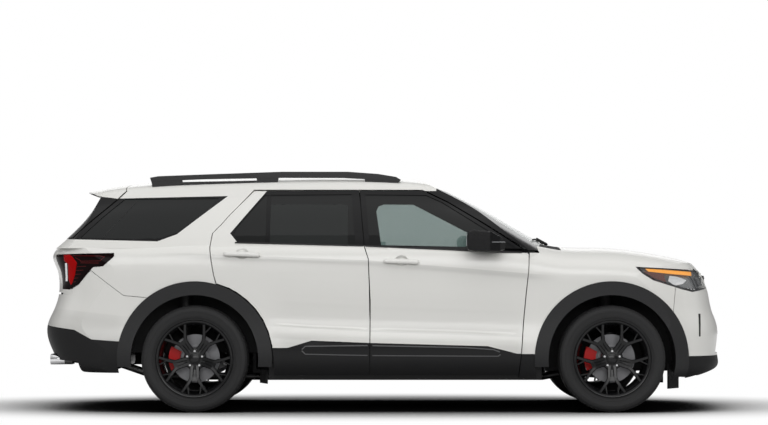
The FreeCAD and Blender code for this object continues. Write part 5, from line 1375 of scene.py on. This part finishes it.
for s in (-1, 1):
    for k, y in enumerate((0.600, 0.690)):
        ring = []
        for i in range(40):
            a = 2 * math.pi * i / 40
            ring.append([(-2.436 - o, s * y + r * math.cos(a), 0.378 + r * math.sin(a))
                         for r, o in ((0.0385, -0.10), (0.0395, 0.0), (0.0385, 0.0040), (0.0345, 0.0040),
                                      (0.0335, 0.0),
                                      (0.0335, -0.09))])
        ob = grid_obj("exhaust_trim_%s_%d" % ("lr"[s < 0], k), ring, "chrome", closed_v=True)
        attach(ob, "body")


# studio
def studio():
    bpy.ops.mesh.primitive_plane_add(size=160, location=(0, 40, 0))
    floor = bpy.context.object
    floor.name = "studio_floor"
    m, nt, b = new_mat("studio_floor")
    b.inputs["Base Color"].default_value = (0.90, 0.90, 0.90, 1)
    b.inputs["Roughness"].default_value = 0.9
    b.inputs["Specular IOR Level"].default_value = 0.0
    grain(nt, b, 3.0, 0.0, 0.02, None, 0.9)
    coord = add(nt, "ShaderNodeTexCoord")
    sep = add(nt, "ShaderNodeSeparateXYZ")
    nt.links.new(coord.outputs["Object"], sep.inputs[0])
    ex = math_node(nt, "POWER", math_node(nt, "MULTIPLY", sep.outputs["X"], 1 / 3.5), 2.0)
    ey = math_node(nt, "POWER", math_node(nt, "MULTIPLY", math_node(nt, "ADD", sep.outputs["Y"], 40.0),
                                          1 / 1.75), 2.0)
    far = add(nt, "ShaderNodeMapRange", interpolation_type="SMOOTHSTEP")
    far.inputs["From Min"].default_value = 0.80
    far.inputs["From Max"].default_value = 1.30
    nt.links.new(math_node(nt, "SQRT", math_node(nt, "ADD", ex, ey)), far.inputs["Value"])
    # painted shadow: where ambient occlusion finds the car near, the floor's colour darkens towards near
    # black
    near = add(nt, "ShaderNodeAmbientOcclusion", samples=12)
    near.inputs["Distance"].default_value = 1.6
    shade = add(nt, "ShaderNodeMix", data_type="RGBA")
    shade.inputs[6].default_value = (0.010, 0.010, 0.010, 1)
    shade.inputs[7].default_value = (0.92, 0.92, 0.92, 1)
    nt.links.new(fade(nt, near.outputs["AO"], 0.30, 0.95), shade.inputs[0])
    path = add(nt, "ShaderNodeLightPath")
    bounce = add(nt, "ShaderNodeMix", data_type="RGBA")
    bounce.inputs[7].default_value = (0.42, 0.42, 0.42, 1)
    nt.links.new(path.outputs["Is Diffuse Ray"], bounce.inputs[0])
    nt.links.new(shade.outputs[2], bounce.inputs[6])
    nt.links.new(bounce.outputs[2], b.inputs["Base Color"])
    seen = math_node(nt, "MAXIMUM", path.outputs["Is Camera Ray"],
                     math_node(nt, "MAXIMUM", path.outputs["Is Glossy Ray"],
                               path.outputs["Is Transmission Ray"]))
    glow = add(nt, "ShaderNodeEmission")
    glow.inputs["Color"].default_value = (1, 1, 1, 1)
    both = add(nt, "ShaderNodeMixShader")
    nt.links.new(math_node(nt, "MULTIPLY", far.outputs[0], seen), both.inputs[0])
    nt.links.new(b.outputs[0], both.inputs[1])
    nt.links.new(glow.outputs[0], both.inputs[2])
    nt.links.new(both.outputs[0], nt.nodes["Material Output"].inputs["Surface"])
    floor.data.materials.append(m)
    world = bpy.data.worlds.new("studio") if not bpy.context.scene.world else bpy.context.scene.world
    bpy.context.scene.world = world
    world.use_nodes = True
    nt = world.node_tree
    nt.nodes.clear()
    out = add(nt, "ShaderNodeOutputWorld")
    bg = add(nt, "ShaderNodeBackground")
    bg.inputs["Strength"].default_value = 1.0
    path = add(nt, "ShaderNodeLightPath")
    coord = add(nt, "ShaderNodeTexCoord")
    sep = add(nt, "ShaderNodeSeparateXYZ")
    nt.links.new(coord.outputs["Generated"], sep.inputs[0])
    ramp = add(nt, "ShaderNodeValToRGB")
    ramp.color_ramp.elements[0].position = 0.44
    ramp.color_ramp.elements[0].color = (0.12, 0.12, 0.12, 1)
    ramp.color_ramp.elements[1].position = 0.95
    ramp.color_ramp.elements[1].color = (0.55, 0.55, 0.55, 1)
    mr = add(nt, "ShaderNodeMapRange")
    mr.inputs["From Min"].default_value = -1.0
    mr.inputs["From Max"].default_value = 1.0
    nt.links.new(sep.outputs["Z"], mr.inputs["Value"])
    nt.links.new(mr.outputs[0], ramp.inputs[0])
    seen = math_node(nt, "MAXIMUM", path.outputs["Is Camera Ray"], path.outputs["Is Transmission Ray"])
    mix = add(nt, "ShaderNodeMix", data_type="RGBA")
    mix.inputs[7].default_value = (1.0, 1.0, 1.0, 1)
    nt.links.new(seen, mix.inputs[0])
    nt.links.new(ramp.outputs[0], mix.inputs[6])
    nt.links.new(mix.outputs[2], bg.inputs["Color"])
    nt.links.new(bg.outputs[0], out.inputs[0])

    def area(name, loc, target, size, size_y, power):
        light = bpy.data.lights.new(name, "AREA")
        light.shape = "RECTANGLE"
        light.size, light.size_y = size, size_y
        light.energy = power
        ob = bpy.data.objects.new(name, light)
        bpy.context.scene.collection.objects.link(ob)
        ob.location = loc
        ob.rotation_euler = (Vector(target) - Vector(loc)).to_track_quat("-Z", "Y").to_euler()
        return ob

    area("key_top", (0.0, -2.0, 7.0), (0, 0, 0.5), 9.0, 6.0, 112)
    area("front_fill", (0.5, -10.0, 4.0), (0, 0, 0.8), 10.0, 4.0, 500)
    area("back_fill", (0.0, 9.0, 4.0), (0, 0, 0.8), 10.0, 4.0, 150)
    area("nose_fill", (9.0, -2.0, 3.0), (1.5, 0, 0.8), 5.0, 4.0, 60)
    area("tail_fill", (-9.0, -2.0, 3.0), (-1.5, 0, 0.8), 5.0, 4.0, 60)


def camera():
    cam = bpy.data.cameras.new("camera")
    ob = bpy.data.objects.new("camera", cam)
    bpy.context.scene.collection.objects.link(ob)
    cam.sensor_width = 36.0
    cam.lens = 36.0 * 2350.6 / 768.0
    cam.clip_end = 400.0
    ob.location = (0.009, -18.0, 0.923)
    tilt = math.atan(72.5 / 2350.6)
    ob.rotation_euler = (math.pi / 2 + tilt, 0.0, 0.0)
    bpy.context.scene.camera = ob


studio()
camera()
bpy.context.scene.view_settings.view_transform = "Standard"
